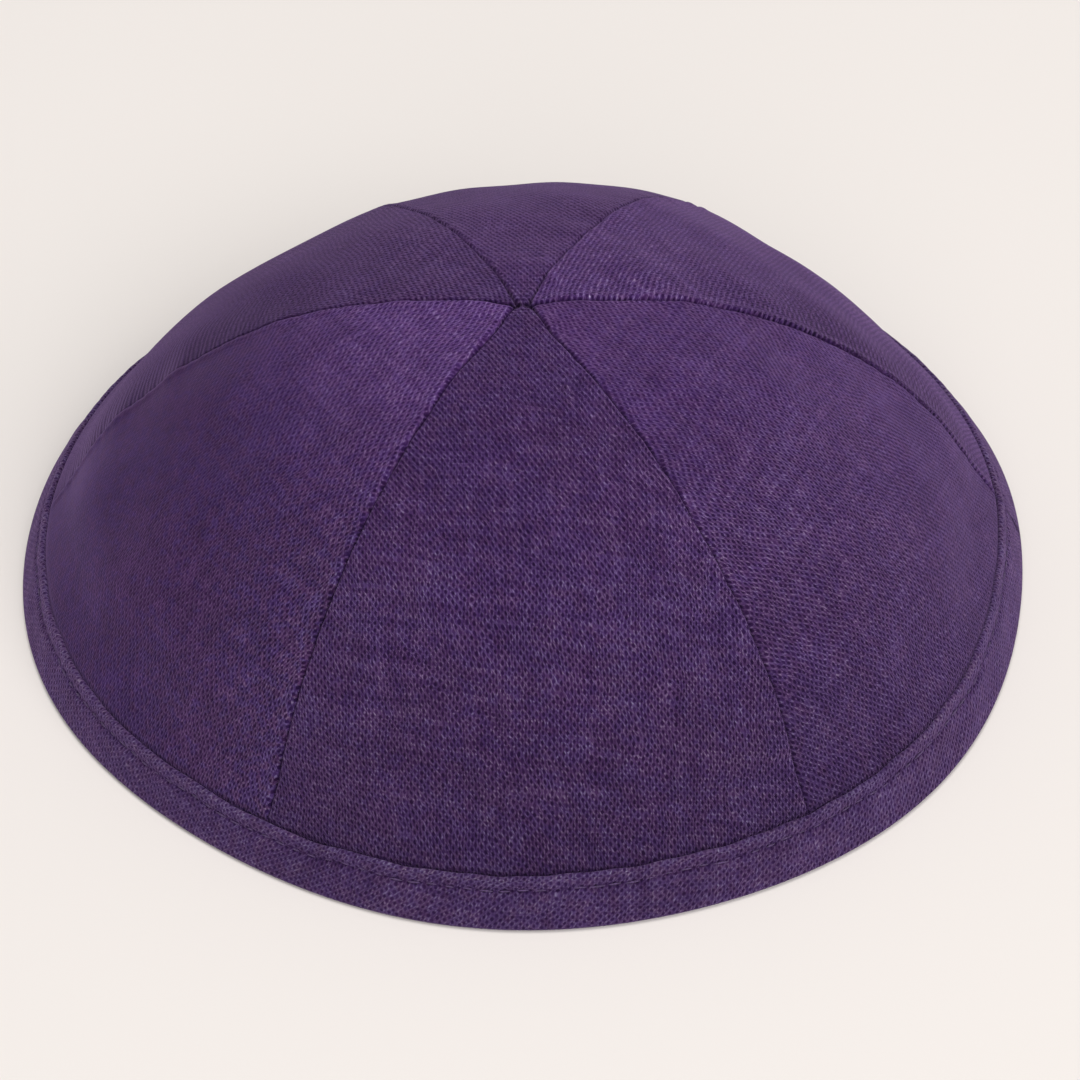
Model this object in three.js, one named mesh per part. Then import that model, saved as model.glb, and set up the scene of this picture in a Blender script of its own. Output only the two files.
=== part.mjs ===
// A linen skullcap sewn from six panels, with a folded band round its rim, standing open side down.
// Millimetres, +Z up. The front of the cap faces -Y and its right side +X.

import * as THREE from "three";

// Crown: how the cloth falls from the top point to the lower edge, measured along the cloth
const CROWN_ARC = 114.9;
const TOP_SLOPE = 2.5;
const EDGE_SLOPE = 64.0;
const SLOPE_POWER = 1.317;
const SHOULDER_SLOPE = 8.3;

// The top point has sunk a little towards the front, and the panels stay flat almost to the rim
const TOP_SHIFT = { x: -0.3, y: -5.3 };
const TOP_SHIFT_POWER = 2.15;
const FLATNESS_POWER = 2.87;

// Cloth and sewing
const PANEL_WALL = 1.2;
const SEAM_GAP = 0.3;
const SEAM_DEPTH = 0.45;
const SEAM_WIDTH = 0.8;
const CLEARANCE = 0.3;

// Band: one strip folded over the lower edge, with the panels held in the slot between its leaves
const BAND_HEIGHT = 9.8;
const BAND_LEAF = 1.0;
const BAND_SLOT_FLOOR = 3.0;
const BAND_EDGE_ROUND = 0.4;
const BAND_FOOT_HEIGHT = 0.8;
const BAND_BLEND = 20.0;
const BAND_FACE_STEPS = 4;

// The band's foot: shares of the way across it, and of BAND_FOOT_HEIGHT up from the ground
const BAND_FOOT = [
  { across: 0.05, rise: 0.35 },
  { across: 0.17, rise: 0 },
  { across: 0.83, rise: 0 },
  { across: 0.95, rise: 0.35 },
];

// How finely the cloth is divided
const PANEL_COLUMNS = 10;
const PANEL_ROWS = 19;
const ROW_POWER = 1.2;
const MERIDIAN_STEPS = 800;

// One row for each panel, counter-clockwise from above. seamAt is where the seam on its clockwise side
// meets the rim, seamSweep how far that seam has turned at the top and seamBow how far it bows between,
// all in degrees. flat is how much of its radius the middle of the panel loses.
const PANELS = [
  { name: "panel_back_right", seamAt: 0.5, seamSweep: 7.0, seamBow: 2.2, flat: 0.047 },
  { name: "panel_back", seamAt: 60.7, seamSweep: 3.0, seamBow: 0.8, flat: 0.022 },
  { name: "panel_back_left", seamAt: 119.2, seamSweep: -2.2, seamBow: -0.9, flat: 0.034 },
  { name: "panel_front_left", seamAt: 177.8, seamSweep: -7.0, seamBow: -2.6, flat: 0.017 },
  { name: "panel_front", seamAt: 238.9, seamSweep: -3.9, seamBow: 0.2, flat: 0.018 },
  { name: "panel_front_right", seamAt: 301.2, seamSweep: 0.6, seamBow: 1.7, flat: 0.015 },
];

// How the rim strays from a circle, as shares of its radius in waves round it
const RIM_WAVES = [
  { perTurn: 2, cosine: 0.0053, sine: 0.0026 },
  { perTurn: 3, cosine: -0.0163, sine: 0.0016 },
  { perTurn: 4, cosine: 0.0028, sine: -0.0061 },
  { perTurn: 5, cosine: 0.0044, sine: 0.004 },
  { perTurn: 6, cosine: -0.0046, sine: 0.006 },
];

// How the band's height strays from its mean, as shares of it
const BAND_WAVES = [
  { perTurn: 1, cosine: 0.042, sine: 0.03 },
  { perTurn: 2, cosine: -0.014, sine: -0.023 },
];

const CLOTH = { color: "#472a63", roughness: 0.92, metalness: 0 };
const BAND_CLOTH = { color: "#45295f", roughness: 0.9, metalness: 0 };

const BAND_SLOT = PANEL_WALL + 2 * CLEARANCE;
const BAND_THICKNESS = 2 * BAND_LEAF + BAND_SLOT;
const PANEL_INSET = BAND_LEAF + CLEARANCE;

const { degToRad, lerp, smoothstep } = THREE.MathUtils;

// Steepness of the cloth at share s of the way from the top point to the lower edge
function slopeAt(s) {
  const fall = lerp(TOP_SLOPE, EDGE_SLOPE, s ** SLOPE_POWER);
  return degToRad(fall + SHOULDER_SLOPE * Math.sin(Math.PI * s));
}

// The meridian as distances out from and down from the top point, added up in small steps
function makeMeridian() {
  const out = [0];
  const down = [0];
  const step = CROWN_ARC / MERIDIAN_STEPS;
  for (let i = 0; i < MERIDIAN_STEPS; i += 1) {
    const slope = slopeAt((i + 0.5) / MERIDIAN_STEPS);
    out.push(out[i] + step * Math.cos(slope));
    down.push(down[i] + step * Math.sin(slope));
  }
  return { out, down };
}

const MERIDIAN = makeMeridian();
const CROWN_HEIGHT = MERIDIAN.down[MERIDIAN_STEPS];

// Radius and height of the meridian at share s, also a little way past its ends
function meridianAt(s) {
  const place = s * MERIDIAN_STEPS;
  const i = Math.min(Math.max(Math.floor(place), 0), MERIDIAN_STEPS - 1);
  const part = place - i;
  return {
    radius: MERIDIAN.out[i] + (MERIDIAN.out[i + 1] - MERIDIAN.out[i]) * part,
    height: CROWN_HEIGHT - MERIDIAN.down[i] - (MERIDIAN.down[i + 1] - MERIDIAN.down[i]) * part,
  };
}

// Azimuth of a seam at share s. Seam number PANELS.length is the first one again, a turn later.
function seamAzimuth(number, s) {
  const seam = PANELS[number % PANELS.length];
  const turn = number < PANELS.length ? 0 : 360;
  return degToRad(seam.seamAt + seam.seamSweep * (1 - s) + seam.seamBow * Math.sin(Math.PI * s) + turn);
}

// The sum of a table of waves at an azimuth
function waveSum(waves, azimuth) {
  let sum = 0;
  for (const { perTurn, cosine, sine } of waves) {
    sum += cosine * Math.cos(perTurn * azimuth) + sine * Math.sin(perTurn * azimuth);
  }
  return sum;
}

// The cap's outer form at an azimuth and share s, with a share of the radius taken off for flatness
function formPoint(azimuth, s, flatness) {
  const { radius, height } = meridianAt(s);
  const wave = waveSum(RIM_WAVES, azimuth) * s;
  const reach = radius * (1 + wave - flatness * (1 - s ** FLATNESS_POWER));
  const shift = (1 - s) ** TOP_SHIFT_POWER;
  return new THREE.Vector3(
    reach * Math.cos(azimuth) + TOP_SHIFT.x * shift,
    reach * Math.sin(azimuth) + TOP_SHIFT.y * shift,
    height,
  );
}

// Outward direction of the form, without flatness, so that both sides of a seam share it
function formNormal(azimuth, s) {
  const small = 1e-3;
  const here = Math.min(Math.max(s, small), 1 - small);
  const around = formPoint(azimuth + small, here, 0).sub(formPoint(azimuth - small, here, 0));
  const down = formPoint(azimuth, here + small, 0).sub(formPoint(azimuth, here - small, 0));
  return down.cross(around).normalize();
}

// A point of the cloth in a panel: u runs across it from seam to seam, s down it, depth into the cloth
function clothPoint(panel, u, s, depth) {
  const azimuth = lerp(seamAzimuth(panel, s), seamAzimuth(panel + 1, s), u);
  const flatness = PANELS[panel].flat * Math.sin(Math.PI * u);
  return formPoint(azimuth, s, flatness).addScaledVector(formNormal(azimuth, s), -depth);
}

// Height of the band, measured up the cloth, where it crosses a line of a panel
function bandHeight(panel, u) {
  const azimuth = lerp(seamAzimuth(panel, 1), seamAzimuth(panel + 1, 1), u);
  return BAND_HEIGHT * (1 + waveSum(BAND_WAVES, azimuth));
}

// Depth of a panel's outer face, which runs under the band's outer leaf and rises clear of it above
function panelDepth(panel, u, s) {
  const aboveBand = (1 - s) * CROWN_ARC - bandHeight(panel, u);
  return PANEL_INSET * (1 - smoothstep(aboveBand, 0, BAND_BLEND));
}

// Two triangles over four corners, leaving out any that has closed to a line
function addQuad(triangles, a, b, c, d) {
  for (const corners of [[a, b, c], [a, c, d]]) {
    if (new Set(corners).size === 3) {
      triangles.push(...corners);
    }
  }
}

function solidFrom(points, triangles) {
  const geometry = new THREE.BufferGeometry();
  geometry.setAttribute("position", new THREE.Float32BufferAttribute(points.flatMap((p) => p.toArray()), 3));
  geometry.setIndex(triangles);
  geometry.computeVertexNormals();
  return geometry;
}

// Across a panel at share s: its two cut edges, the top of each seam's dip, and even columns between
function columnsAt(panel, s) {
  const { radius } = meridianAt(s);
  const angle = seamAzimuth(panel + 1, s) - seamAzimuth(panel, s);
  const edge = Math.asin(Math.min(1, SEAM_GAP / 2 / radius)) / angle;
  const dip = edge + Math.min(SEAM_WIDTH / (radius * angle), (0.5 - edge) / PANEL_COLUMNS);
  const columns = [{ u: edge, drop: SEAM_DEPTH }, { u: dip, drop: 0 }];
  for (let i = 1; i < PANEL_COLUMNS; i += 1) {
    columns.push({ u: Math.min(Math.max(i / PANEL_COLUMNS, dip), 1 - dip), drop: 0 });
  }
  columns.push({ u: 1 - dip, drop: 0 }, { u: 1 - edge, drop: SEAM_DEPTH });
  return columns;
}

// One gore: a curved wall that narrows to a tip at the top of the cap
function panelGeometry(panel) {
  const tipAngle = seamAzimuth(panel + 1, 0) - seamAzimuth(panel, 0);
  const tipShare = SEAM_GAP / 2 / Math.sin(tipAngle / 2) / CROWN_ARC;
  const endShare = 1 - (BAND_SLOT_FLOOR + CLEARANCE) / CROWN_ARC;
  const points = [clothPoint(panel, 0.5, tipShare, SEAM_DEPTH), clothPoint(panel, 0.5, tipShare, PANEL_WALL)];
  for (let row = 1; row <= PANEL_ROWS; row += 1) {
    const s = lerp(tipShare, endShare, (row / PANEL_ROWS) ** ROW_POWER);
    for (const { u, drop } of columnsAt(panel, s)) {
      const depth = panelDepth(panel, u, s);
      points.push(clothPoint(panel, u, s, depth + drop), clothPoint(panel, u, s, depth + PANEL_WALL));
    }
  }
  const columnCount = columnsAt(panel, endShare).length;
  const outer = (row, column) => (row === 0 ? 0 : 2 * (1 + (row - 1) * columnCount + column));
  const inner = (row, column) => outer(row, column) + 1;
  const last = columnCount - 1;
  const triangles = [];
  for (let row = 0; row < PANEL_ROWS; row += 1) {
    const next = row + 1;
    for (let j = 0; j < last; j += 1) {
      addQuad(triangles, outer(row, j), outer(next, j), outer(next, j + 1), outer(row, j + 1));
      addQuad(triangles, inner(row, j), inner(row, j + 1), inner(next, j + 1), inner(next, j));
    }
    addQuad(triangles, outer(next, 0), outer(row, 0), inner(row, 0), inner(next, 0));
    addQuad(triangles, outer(row, last), outer(next, last), inner(next, last), inner(row, last));
  }
  for (let j = 0; j < last; j += 1) {
    addQuad(
      triangles,
      outer(PANEL_ROWS, j + 1),
      outer(PANEL_ROWS, j),
      inner(PANEL_ROWS, j),
      inner(PANEL_ROWS, j + 1),
    );
  }
  return solidFrom(points, triangles);
}

// The band's section where it crosses one line of the cloth. Its foot is flat and lies on z = 0.
function bandSection(panel, u) {
  const onCloth = (up, depth) => clothPoint(panel, u, 1 - up / CROWN_ARC, depth);
  const sine = Math.sin(degToRad(EDGE_SLOPE));
  const cosine = Math.cos(degToRad(EDGE_SLOPE));
  const outerLow = onCloth(BAND_FOOT_HEIGHT / sine, 0);
  const innerLow = onCloth((BAND_FOOT_HEIGHT + BAND_THICKNESS * cosine) / sine, BAND_THICKNESS);
  const foot = BAND_FOOT.map(({ across, rise }) =>
    outerLow.clone().lerp(innerLow, across).setZ(rise * BAND_FOOT_HEIGHT));
  const top = bandHeight(panel, u);
  const brow = top - BAND_EDGE_ROUND;
  const outerFace = [];
  for (let step = 0; step < BAND_FACE_STEPS; step += 1) {
    outerFace.push(onCloth(brow * (1 - step / BAND_FACE_STEPS), 0));
  }
  const slotInner = BAND_LEAF + BAND_SLOT;
  return [
    ...outerFace,
    outerLow,
    ...foot,
    innerLow,
    onCloth((brow + BAND_SLOT_FLOOR) / 2, BAND_THICKNESS),
    onCloth(brow, BAND_THICKNESS),
    onCloth(top, BAND_THICKNESS - BAND_EDGE_ROUND),
    onCloth(top, slotInner),
    onCloth(BAND_SLOT_FLOOR, slotInner),
    onCloth(BAND_SLOT_FLOOR, BAND_LEAF),
    onCloth(top, BAND_LEAF),
    onCloth(top, BAND_EDGE_ROUND),
  ];
}

// The band: its section carried once round the rim, on the same lines as the panels' columns
function bandGeometry() {
  const sections = PANELS.flatMap((_, panel) =>
    Array.from({ length: PANEL_COLUMNS }, (__, column) => bandSection(panel, column / PANEL_COLUMNS)));
  const perSection = sections[0].length;
  const triangles = [];
  sections.forEach((_, i) => {
    const here = i * perSection;
    const beside = ((i + 1) % sections.length) * perSection;
    for (let j = 0; j < perSection; j += 1) {
      const next = (j + 1) % perSection;
      addQuad(triangles, here + j, here + next, beside + next, beside + j);
    }
  });
  return solidFrom(sections.flat(), triangles);
}

function makeMesh(name, geometry, finish) {
  const mesh = new THREE.Mesh(geometry, new THREE.MeshStandardMaterial(finish));
  mesh.name = name;
  return mesh;
}

const crown = new THREE.Group();
PANELS.forEach(({ name }, panel) => crown.add(makeMesh(name, panelGeometry(panel), CLOTH)));

// The whole cap, moved so that the middle of its box's underside is the origin
const group = new THREE.Group();
group.add(crown, makeMesh("rim_band", bandGeometry(), BAND_CLOTH));
const middle = new THREE.Box3().setFromObject(group).getCenter(new THREE.Vector3());
group.position.set(-middle.x, -middle.y, 0);

export default group;
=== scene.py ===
"""A purple linen skullcap standing on its rim, in soft studio light.

Six gores are sewn together at a sunken top point. A binding is folded over their lower edges, and a row of
stitches holds it, outside and inside. Sizes are in millimetres until a mesh is finished.
"""

import logging
import math
from dataclasses import dataclass
from enum import Enum

import bmesh
import bpy
import numpy as np
from mathutils import Matrix, Vector


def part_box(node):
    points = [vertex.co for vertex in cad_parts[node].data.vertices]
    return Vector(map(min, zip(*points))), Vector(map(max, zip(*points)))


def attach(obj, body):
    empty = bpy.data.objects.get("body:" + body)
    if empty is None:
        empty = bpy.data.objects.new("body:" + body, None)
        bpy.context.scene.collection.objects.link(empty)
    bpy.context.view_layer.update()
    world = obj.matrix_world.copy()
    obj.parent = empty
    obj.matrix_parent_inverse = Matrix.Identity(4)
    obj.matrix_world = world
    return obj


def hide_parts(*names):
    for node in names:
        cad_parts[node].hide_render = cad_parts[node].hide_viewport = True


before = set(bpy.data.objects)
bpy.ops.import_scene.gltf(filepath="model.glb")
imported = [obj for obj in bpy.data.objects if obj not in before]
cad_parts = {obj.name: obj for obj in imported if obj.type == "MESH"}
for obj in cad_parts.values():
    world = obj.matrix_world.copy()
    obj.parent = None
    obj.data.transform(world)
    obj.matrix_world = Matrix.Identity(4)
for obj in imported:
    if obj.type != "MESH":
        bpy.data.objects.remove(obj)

LOG = logging.getLogger("skullcap")
MM = 0.001
BODY = "root"

# The cloth's vertices store three numbers under each of these names, for the finishes to read.
# The place on the flat cut, and the piece's own seed
WEAVE_PLACE = "weave_mm"
# The way to the nearest sewn edge, the way along it, and the way from the binding's upper edge
SEWN_EDGE = "sewn_edge_mm"
# How openly the cloth is woven, its lightness with painted light and shade, and how strongly a sewn edge
# shows in painted shade and loops
CLOTH_STATE = "cloth_state"
# The lean of the weave, how mottled the dye is, and how strongly ribs show
WEAVE_LEAN = "weave_lean"

# A way to the nearest sewn edge that is too long to show
NO_EDGE = 9.0
# How far the stitches run below the binding's upper edge
STITCH_DROP = 2.4

Array = np.ndarray
Color = tuple[float, float, float]
Span = tuple[float, float]
Socket = bpy.types.NodeSocket
Input = bpy.types.NodeSocket | float | tuple


class Slot(Enum):
    """The record's material slots."""

    PANEL = "panel_linen"
    BAND = "band_linen"


class Stretch(Enum):
    """The stretches of the binding's section, in order round it."""

    OUTER_FOLD = "outer fold"
    FACE = "face"
    FOOT = "foot"
    BACK = "back"
    INNER_FOLD = "inner fold"
    SLOT = "slot for the gores"


# The form of the cap

@dataclass(frozen=True)
class Wave:
    """One wave round the rim, as shares of what it changes."""

    per_turn: int
    cosine: float
    sine: float


@dataclass(frozen=True)
class Cloth:
    """How the cloth of one gore looks.

    open_top is how openly it is woven at the top, and open_rim beside its clockwise seam at the rim.
    lean_top and lean_rim say which diagonal of the weave stands out, from -1 to 1, and skew how far the
    weft runs off square. painted_light_tones are its lightness at the top, halfway and at the rim, partly
    its own and partly painted light and shade, mostly lighter towards the top, where light falls from above.
    painted_light_turn is how much lighter it gets from its clockwise seam to the next one, painted light and
    shade across the gore. mottle_top and mottle_rim say how mottled its dye is. ribs_after says how strongly
    ribs show beside its clockwise seam, and ribs_before beside the next one.
    """

    open_top: float
    open_rim: float
    lean_top: float
    lean_rim: float
    skew: float
    painted_light_tones: tuple[float, float, float]
    painted_light_turn: float = 0.0
    mottle_top: float = 0.5
    mottle_rim: float = 0.62
    ribs_before: float = 0.0
    ribs_after: float = 0.0


@dataclass(frozen=True)
class Gore:
    """A panel of the crown, and the seam on its clockwise side.

    The seam meets the rim at seam_at and has turned by seam_sweep at the top, bowing by seam_bow between,
    all in degrees. flat is how much of its radius the panel's middle loses. before_lift and after_lift say
    how far the cloth rolls up beside the seam, on the panel before and on this one, tip_shift how far to the
    side the seam ends at the top, seam_mark how strongly it shows lower down, and mark_left how much of that
    is left at the rim.
    """

    name: str
    seam_at: float
    seam_sweep: float
    seam_bow: float
    flat: float
    before_lift: float
    after_lift: float
    tip_shift: float
    seam_mark: float
    mark_left: float
    cloth: Cloth


GORES = (
    Gore(
        name="panel_back_right",
        seam_at=0.5,
        seam_sweep=7.0,
        seam_bow=2.2,
        flat=0.047,
        before_lift=-0.06,
        after_lift=0.24,
        tip_shift=1.05,
        seam_mark=1.15,
        mark_left=0.15,
        cloth=Cloth(
            open_top=1.05,
            open_rim=0.90,
            lean_top=0.80,
            lean_rim=0.80,
            skew=0.0,
            painted_light_tones=(1.36, 0.94, 1.05),
            painted_light_turn=0.10,
            ribs_after=1.1,
        ),
    ),
    Gore(
        name="panel_back",
        seam_at=60.7,
        seam_sweep=3.0,
        seam_bow=0.8,
        flat=0.022,
        before_lift=0.16,
        after_lift=-0.04,
        tip_shift=0.75,
        seam_mark=0.60,
        mark_left=0.50,
        cloth=Cloth(
            open_top=0.85,
            open_rim=0.50,
            lean_top=0.60,
            lean_rim=0.40,
            skew=0.0,
            painted_light_tones=(1.01, 0.62, 0.76),
        ),
    ),
    Gore(
        name="panel_back_left",
        seam_at=119.2,
        seam_sweep=-2.2,
        seam_bow=-0.9,
        flat=0.034,
        before_lift=0.14,
        after_lift=-0.04,
        tip_shift=-0.80,
        seam_mark=0.60,
        mark_left=0.50,
        cloth=Cloth(
            open_top=1.00,
            open_rim=1.00,
            lean_top=-0.75,
            lean_rim=-0.70,
            skew=0.0,
            painted_light_tones=(0.91, 0.74, 0.78),
            painted_light_turn=-0.10,
            ribs_before=1.0,
        ),
    ),
    Gore(
        name="panel_front_left",
        seam_at=177.8,
        seam_sweep=-7.0,
        seam_bow=-2.6,
        flat=0.017,
        before_lift=-0.04,
        after_lift=0.18,
        tip_shift=-1.00,
        seam_mark=0.60,
        mark_left=0.15,
        cloth=Cloth(
            open_top=0.92,
            open_rim=0.10,
            lean_top=0.60,
            lean_rim=0.05,
            skew=-0.13,
            painted_light_tones=(1.64, 0.73, 0.70),
            painted_light_turn=0.17,
            mottle_top=0.4,
            mottle_rim=2.2,
        ),
    ),
    Gore(
        name="panel_front",
        seam_at=238.9,
        seam_sweep=-3.9,
        seam_bow=0.2,
        flat=0.018,
        before_lift=0.26,
        after_lift=-0.14,
        tip_shift=-1.10,
        seam_mark=1.00,
        mark_left=1.0,
        cloth=Cloth(
            open_top=0.98,
            open_rim=1.06,
            lean_top=0.68,
            lean_rim=0.22,
            skew=0.15,
            painted_light_tones=(0.94, 0.97, 0.69),
            painted_light_turn=0.02,
        ),
    ),
    Gore(
        name="panel_front_right",
        seam_at=301.2,
        seam_sweep=0.6,
        seam_bow=1.7,
        flat=0.015,
        before_lift=0.06,
        after_lift=0.12,
        tip_shift=1.20,
        seam_mark=0.85,
        mark_left=1.0,
        cloth=Cloth(
            open_top=0.78,
            open_rim=1.12,
            lean_top=-0.62,
            lean_rim=0.55,
            skew=0.10,
            painted_light_tones=(1.25, 1.02, 0.71),
            painted_light_turn=0.09,
        ),
    ),
)


def next_panel(panel: int) -> int:
    """The number of the panel beyond a panel's other seam."""
    return (panel + 1) % len(GORES)


def smooth_step(value: Array, low: float, high: float) -> Array:
    """0 below low, 1 above high, and smooth between."""
    share = np.clip((value - low) / (high - low), 0.0, 1.0)
    return share * share * (3.0 - 2.0 * share)


def hump(value: Array, middle: float, width: float) -> Array:
    """A bell of height 1 round middle."""
    return np.exp(-(((value - middle) / width) ** 2))


def between(start: Array, end: Array, share: Array) -> Array:
    """A value on the way from start to end."""
    return start + (end - start) * share


@dataclass(frozen=True)
class CapForm:
    """The cap's outer form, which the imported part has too, apart from where the seams end at the top.

    A place on it is an azimuth, or a panel and a share u across it, and s, the share of the way down the
    cloth from the top point to the lower edge.
    """

    crown_arc: float = 114.9
    top_slope: float = 2.5
    edge_slope: float = 64.0
    slope_power: float = 1.317
    shoulder_slope: float = 8.3
    top_shift_x: float = -0.3
    top_shift_y: float = -5.3
    top_shift_power: float = 2.15
    flatness_power: float = 2.87
    tip_reach: float = 6.0
    band_height: float = 9.8
    band_foot_height: float = 0.8
    band_blend: float = 20.0
    panel_inset: float = 1.3
    steps: int = 1600
    small_step: float = 1e-3
    rim_places: int = 10
    rim_waves: tuple[Wave, ...] = (
        Wave(2, 0.0053, 0.0026),
        Wave(3, -0.0163, 0.0016),
        Wave(4, 0.0028, -0.0061),
        Wave(5, 0.0044, 0.004),
        Wave(6, -0.0046, 0.006),
    )
    band_waves: tuple[Wave, ...] = (Wave(1, 0.042, 0.03), Wave(2, -0.014, -0.023))

    def slope(self, s: Array) -> Array:
        """Steepness of the cloth at s, in radians."""
        fall = self.top_slope + (self.edge_slope - self.top_slope) * s**self.slope_power
        return np.radians(fall + self.shoulder_slope * np.sin(np.pi * s))

    def meridian(self, s: Array) -> tuple[Array, Array]:
        """Distance out from the top point and height at s.

        Args:
            s: shares of the way down the cloth.

        Returns:
            The radius and the height there.
        """
        middles = (np.arange(self.steps) + 0.5) / self.steps
        slope = self.slope(middles)
        step = self.crown_arc / self.steps
        shares = np.linspace(0.0, 1.0, self.steps + 1)
        out = np.concatenate([[0.0], np.cumsum(np.cos(slope)) * step])
        down = np.concatenate([[0.0], np.cumsum(np.sin(slope)) * step])
        return np.interp(s, shares, out), down[-1] - np.interp(s, shares, down)

    def seam_azimuth(self, number: Array, s: Array) -> Array:
        """Azimuth of a seam, in radians.

        Args:
            number: the seam's number. The one after the last is the first again, a turn later.
            s: shares of the way down the cloth.

        Returns:
            The azimuth of each.
        """
        number = np.asarray(number)
        wrapped = number % len(GORES)
        at = np.array([g.seam_at for g in GORES])[wrapped] + 360.0 * (number // len(GORES))
        sweep = np.array([g.seam_sweep for g in GORES])[wrapped]
        bow = np.array([g.seam_bow for g in GORES])[wrapped]
        return np.radians(at + sweep * (1.0 - s) + bow * np.sin(np.pi * s))

    def azimuth(self, panel: Array, u: Array, s: Array) -> Array:
        """Azimuth of a place on a panel, in radians."""
        low, high = self.seam_azimuth(panel, s), self.seam_azimuth(np.asarray(panel) + 1, s)
        return low + (high - low) * u

    @staticmethod
    def wave_sum(waves: tuple[Wave, ...], azimuth: Array) -> Array:
        """The sum of some waves at an azimuth."""
        turns = [(w, w.per_turn * azimuth) for w in waves]
        return sum(w.cosine * np.cos(turn) + w.sine * np.sin(turn) for w, turn in turns)

    def point(self, azimuth: Array, s: Array, flatness: Array) -> Array:
        """A point of the form.

        Args:
            azimuth: in radians.
            s: share of the way down.
            flatness: share of the radius that the panel's middle loses there.

        Returns:
            One row of x, y, z for each place.
        """
        radius, height = self.meridian(s)
        wave = self.wave_sum(self.rim_waves, azimuth) * s
        reach = radius * (1.0 + wave - flatness * (1.0 - s**self.flatness_power))
        shift = (1.0 - s) ** self.top_shift_power
        x = reach * np.cos(azimuth) + self.top_shift_x * shift
        y = reach * np.sin(azimuth) + self.top_shift_y * shift
        return np.stack([x, y, height], axis=-1)

    def normal(self, azimuth: Array, s: Array) -> Array:
        """The outward direction of the form without flatness, which both sides of a seam share.

        Args:
            azimuth: in radians.
            s: share of the way down.

        Returns:
            One row of length 1 for each place.
        """
        small = self.small_step
        here = np.clip(s, small, 1.0 - small)
        around = self.point(azimuth + small, here, 0.0) - self.point(azimuth - small, here, 0.0)
        down = self.point(azimuth, here + small, 0.0) - self.point(azimuth, here - small, 0.0)
        out = np.cross(down, around)
        return out / np.linalg.norm(out, axis=-1, keepdims=True)

    def cloth(self, panel: Array, u: Array, s: Array, depth: Array) -> Array:
        """A point in the cloth of a panel.

        Args:
            panel: the panel's number.
            u: share of the way across it, from its clockwise seam.
            s: share of the way down.
            depth: how far into the cloth.

        Returns:
            One row of x, y, z for each place.
        """
        azimuth = self.azimuth(panel, u, s)
        flat = np.array([g.flat for g in GORES])[panel] * np.sin(np.pi * u)
        return self.point(azimuth, s, flat) - np.asarray(depth)[..., None] * self.normal(azimuth, s)

    def tip_offset(self, panel: int, u: Array, s: Array) -> Array:
        """How far the cloth is spread sideways near the top, where the seams end in two places."""
        here, beside = GORES[panel].tip_shift, GORES[next_panel(panel)].tip_shift
        return between(here, beside, u) * hump(s * self.crown_arc, 0.0, self.tip_reach)

    def panel_width(self, panel: int, s: Array) -> Array:
        """The width of a panel.

        Args:
            panel: its number.
            s: share of the way down.

        Returns:
            The width along the cloth at each s.
        """
        radius, _ = self.meridian(s)
        spread = abs(GORES[panel].tip_shift - GORES[next_panel(panel)].tip_shift)
        angle = self.seam_azimuth(panel + 1, s) - self.seam_azimuth(panel, s)
        return radius * angle + spread * hump(s * self.crown_arc, 0.0, self.tip_reach)

    def band_height_at(self, panel: Array, u: Array) -> Array:
        """Height of the binding, measured up the cloth."""
        return self.band_height * (1.0 + self.wave_sum(self.band_waves, self.azimuth(panel, u, 1.0)))

    def above_band(self, panel: Array, u: Array, s: Array) -> Array:
        """Distance up the cloth from the binding's upper edge."""
        return (1.0 - s) * self.crown_arc - self.band_height_at(panel, u)

    def panel_depth(self, panel: Array, u: Array, s: Array) -> Array:
        """Depth of a panel's outer face, which runs down into the binding."""
        return self.panel_inset * (1.0 - smooth_step(self.above_band(panel, u, s), 0.0, self.band_blend))

    def to_row_frame(self) -> Array:
        """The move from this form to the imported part, which puts the middles of both rims together.

        Returns:
            The move along x, y and z.
        """
        count = self.rim_places * len(GORES)
        ring = np.arange(count)
        share = 1.0 - self.band_foot_height / math.sin(math.radians(self.edge_slope)) / self.crown_arc
        across = (ring % self.rim_places) / self.rim_places
        rim = self.cloth(ring // self.rim_places, across, np.full(count, share), np.zeros(count))
        low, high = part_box("rim_band")
        middle = (np.array(low) + np.array(high)) / 2.0 / MM
        own = (rim.min(axis=0) + rim.max(axis=0)) / 2.0
        return np.array([middle[0] - own[0], middle[1] - own[1], 0.0])


@dataclass(frozen=True)
class Ripple:
    """Soft unevenness of worn cloth: a sum of plane waves with seeded directions and lengths."""

    seed: int
    shortest: float
    longest: float
    height: float
    count: int = 12

    def at(self, x: Array, y: Array) -> Array:
        """The unevenness at a place.

        Args:
            x: first coordinate, in millimetres.
            y: second coordinate, in millimetres.

        Returns:
            The height there, in millimetres.
        """
        rng = np.random.default_rng(self.seed)
        total = np.zeros(np.broadcast(x, y).shape)
        for _ in range(self.count):
            length = rng.uniform(self.shortest, self.longest)
            turn = rng.uniform(0.0, 2.0 * np.pi)
            phase = rng.uniform(0.0, 2.0 * np.pi)
            total = total + np.sin(2.0 * np.pi * (x * np.cos(turn) + y * np.sin(turn)) / length + phase)
        return total * self.height / math.sqrt(self.count / 2.0)


# Making meshes and objects

def end_shape(shape: bmesh.types.BMesh, name: str) -> bpy.types.Mesh:
    """Turns a finished bmesh into a mesh and frees it.

    Args:
        shape: the bmesh.
        name: the mesh's name.

    Returns:
        The new mesh.
    """
    mesh = bpy.data.meshes.new(name)
    shape.to_mesh(mesh)
    shape.free()
    return mesh


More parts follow.
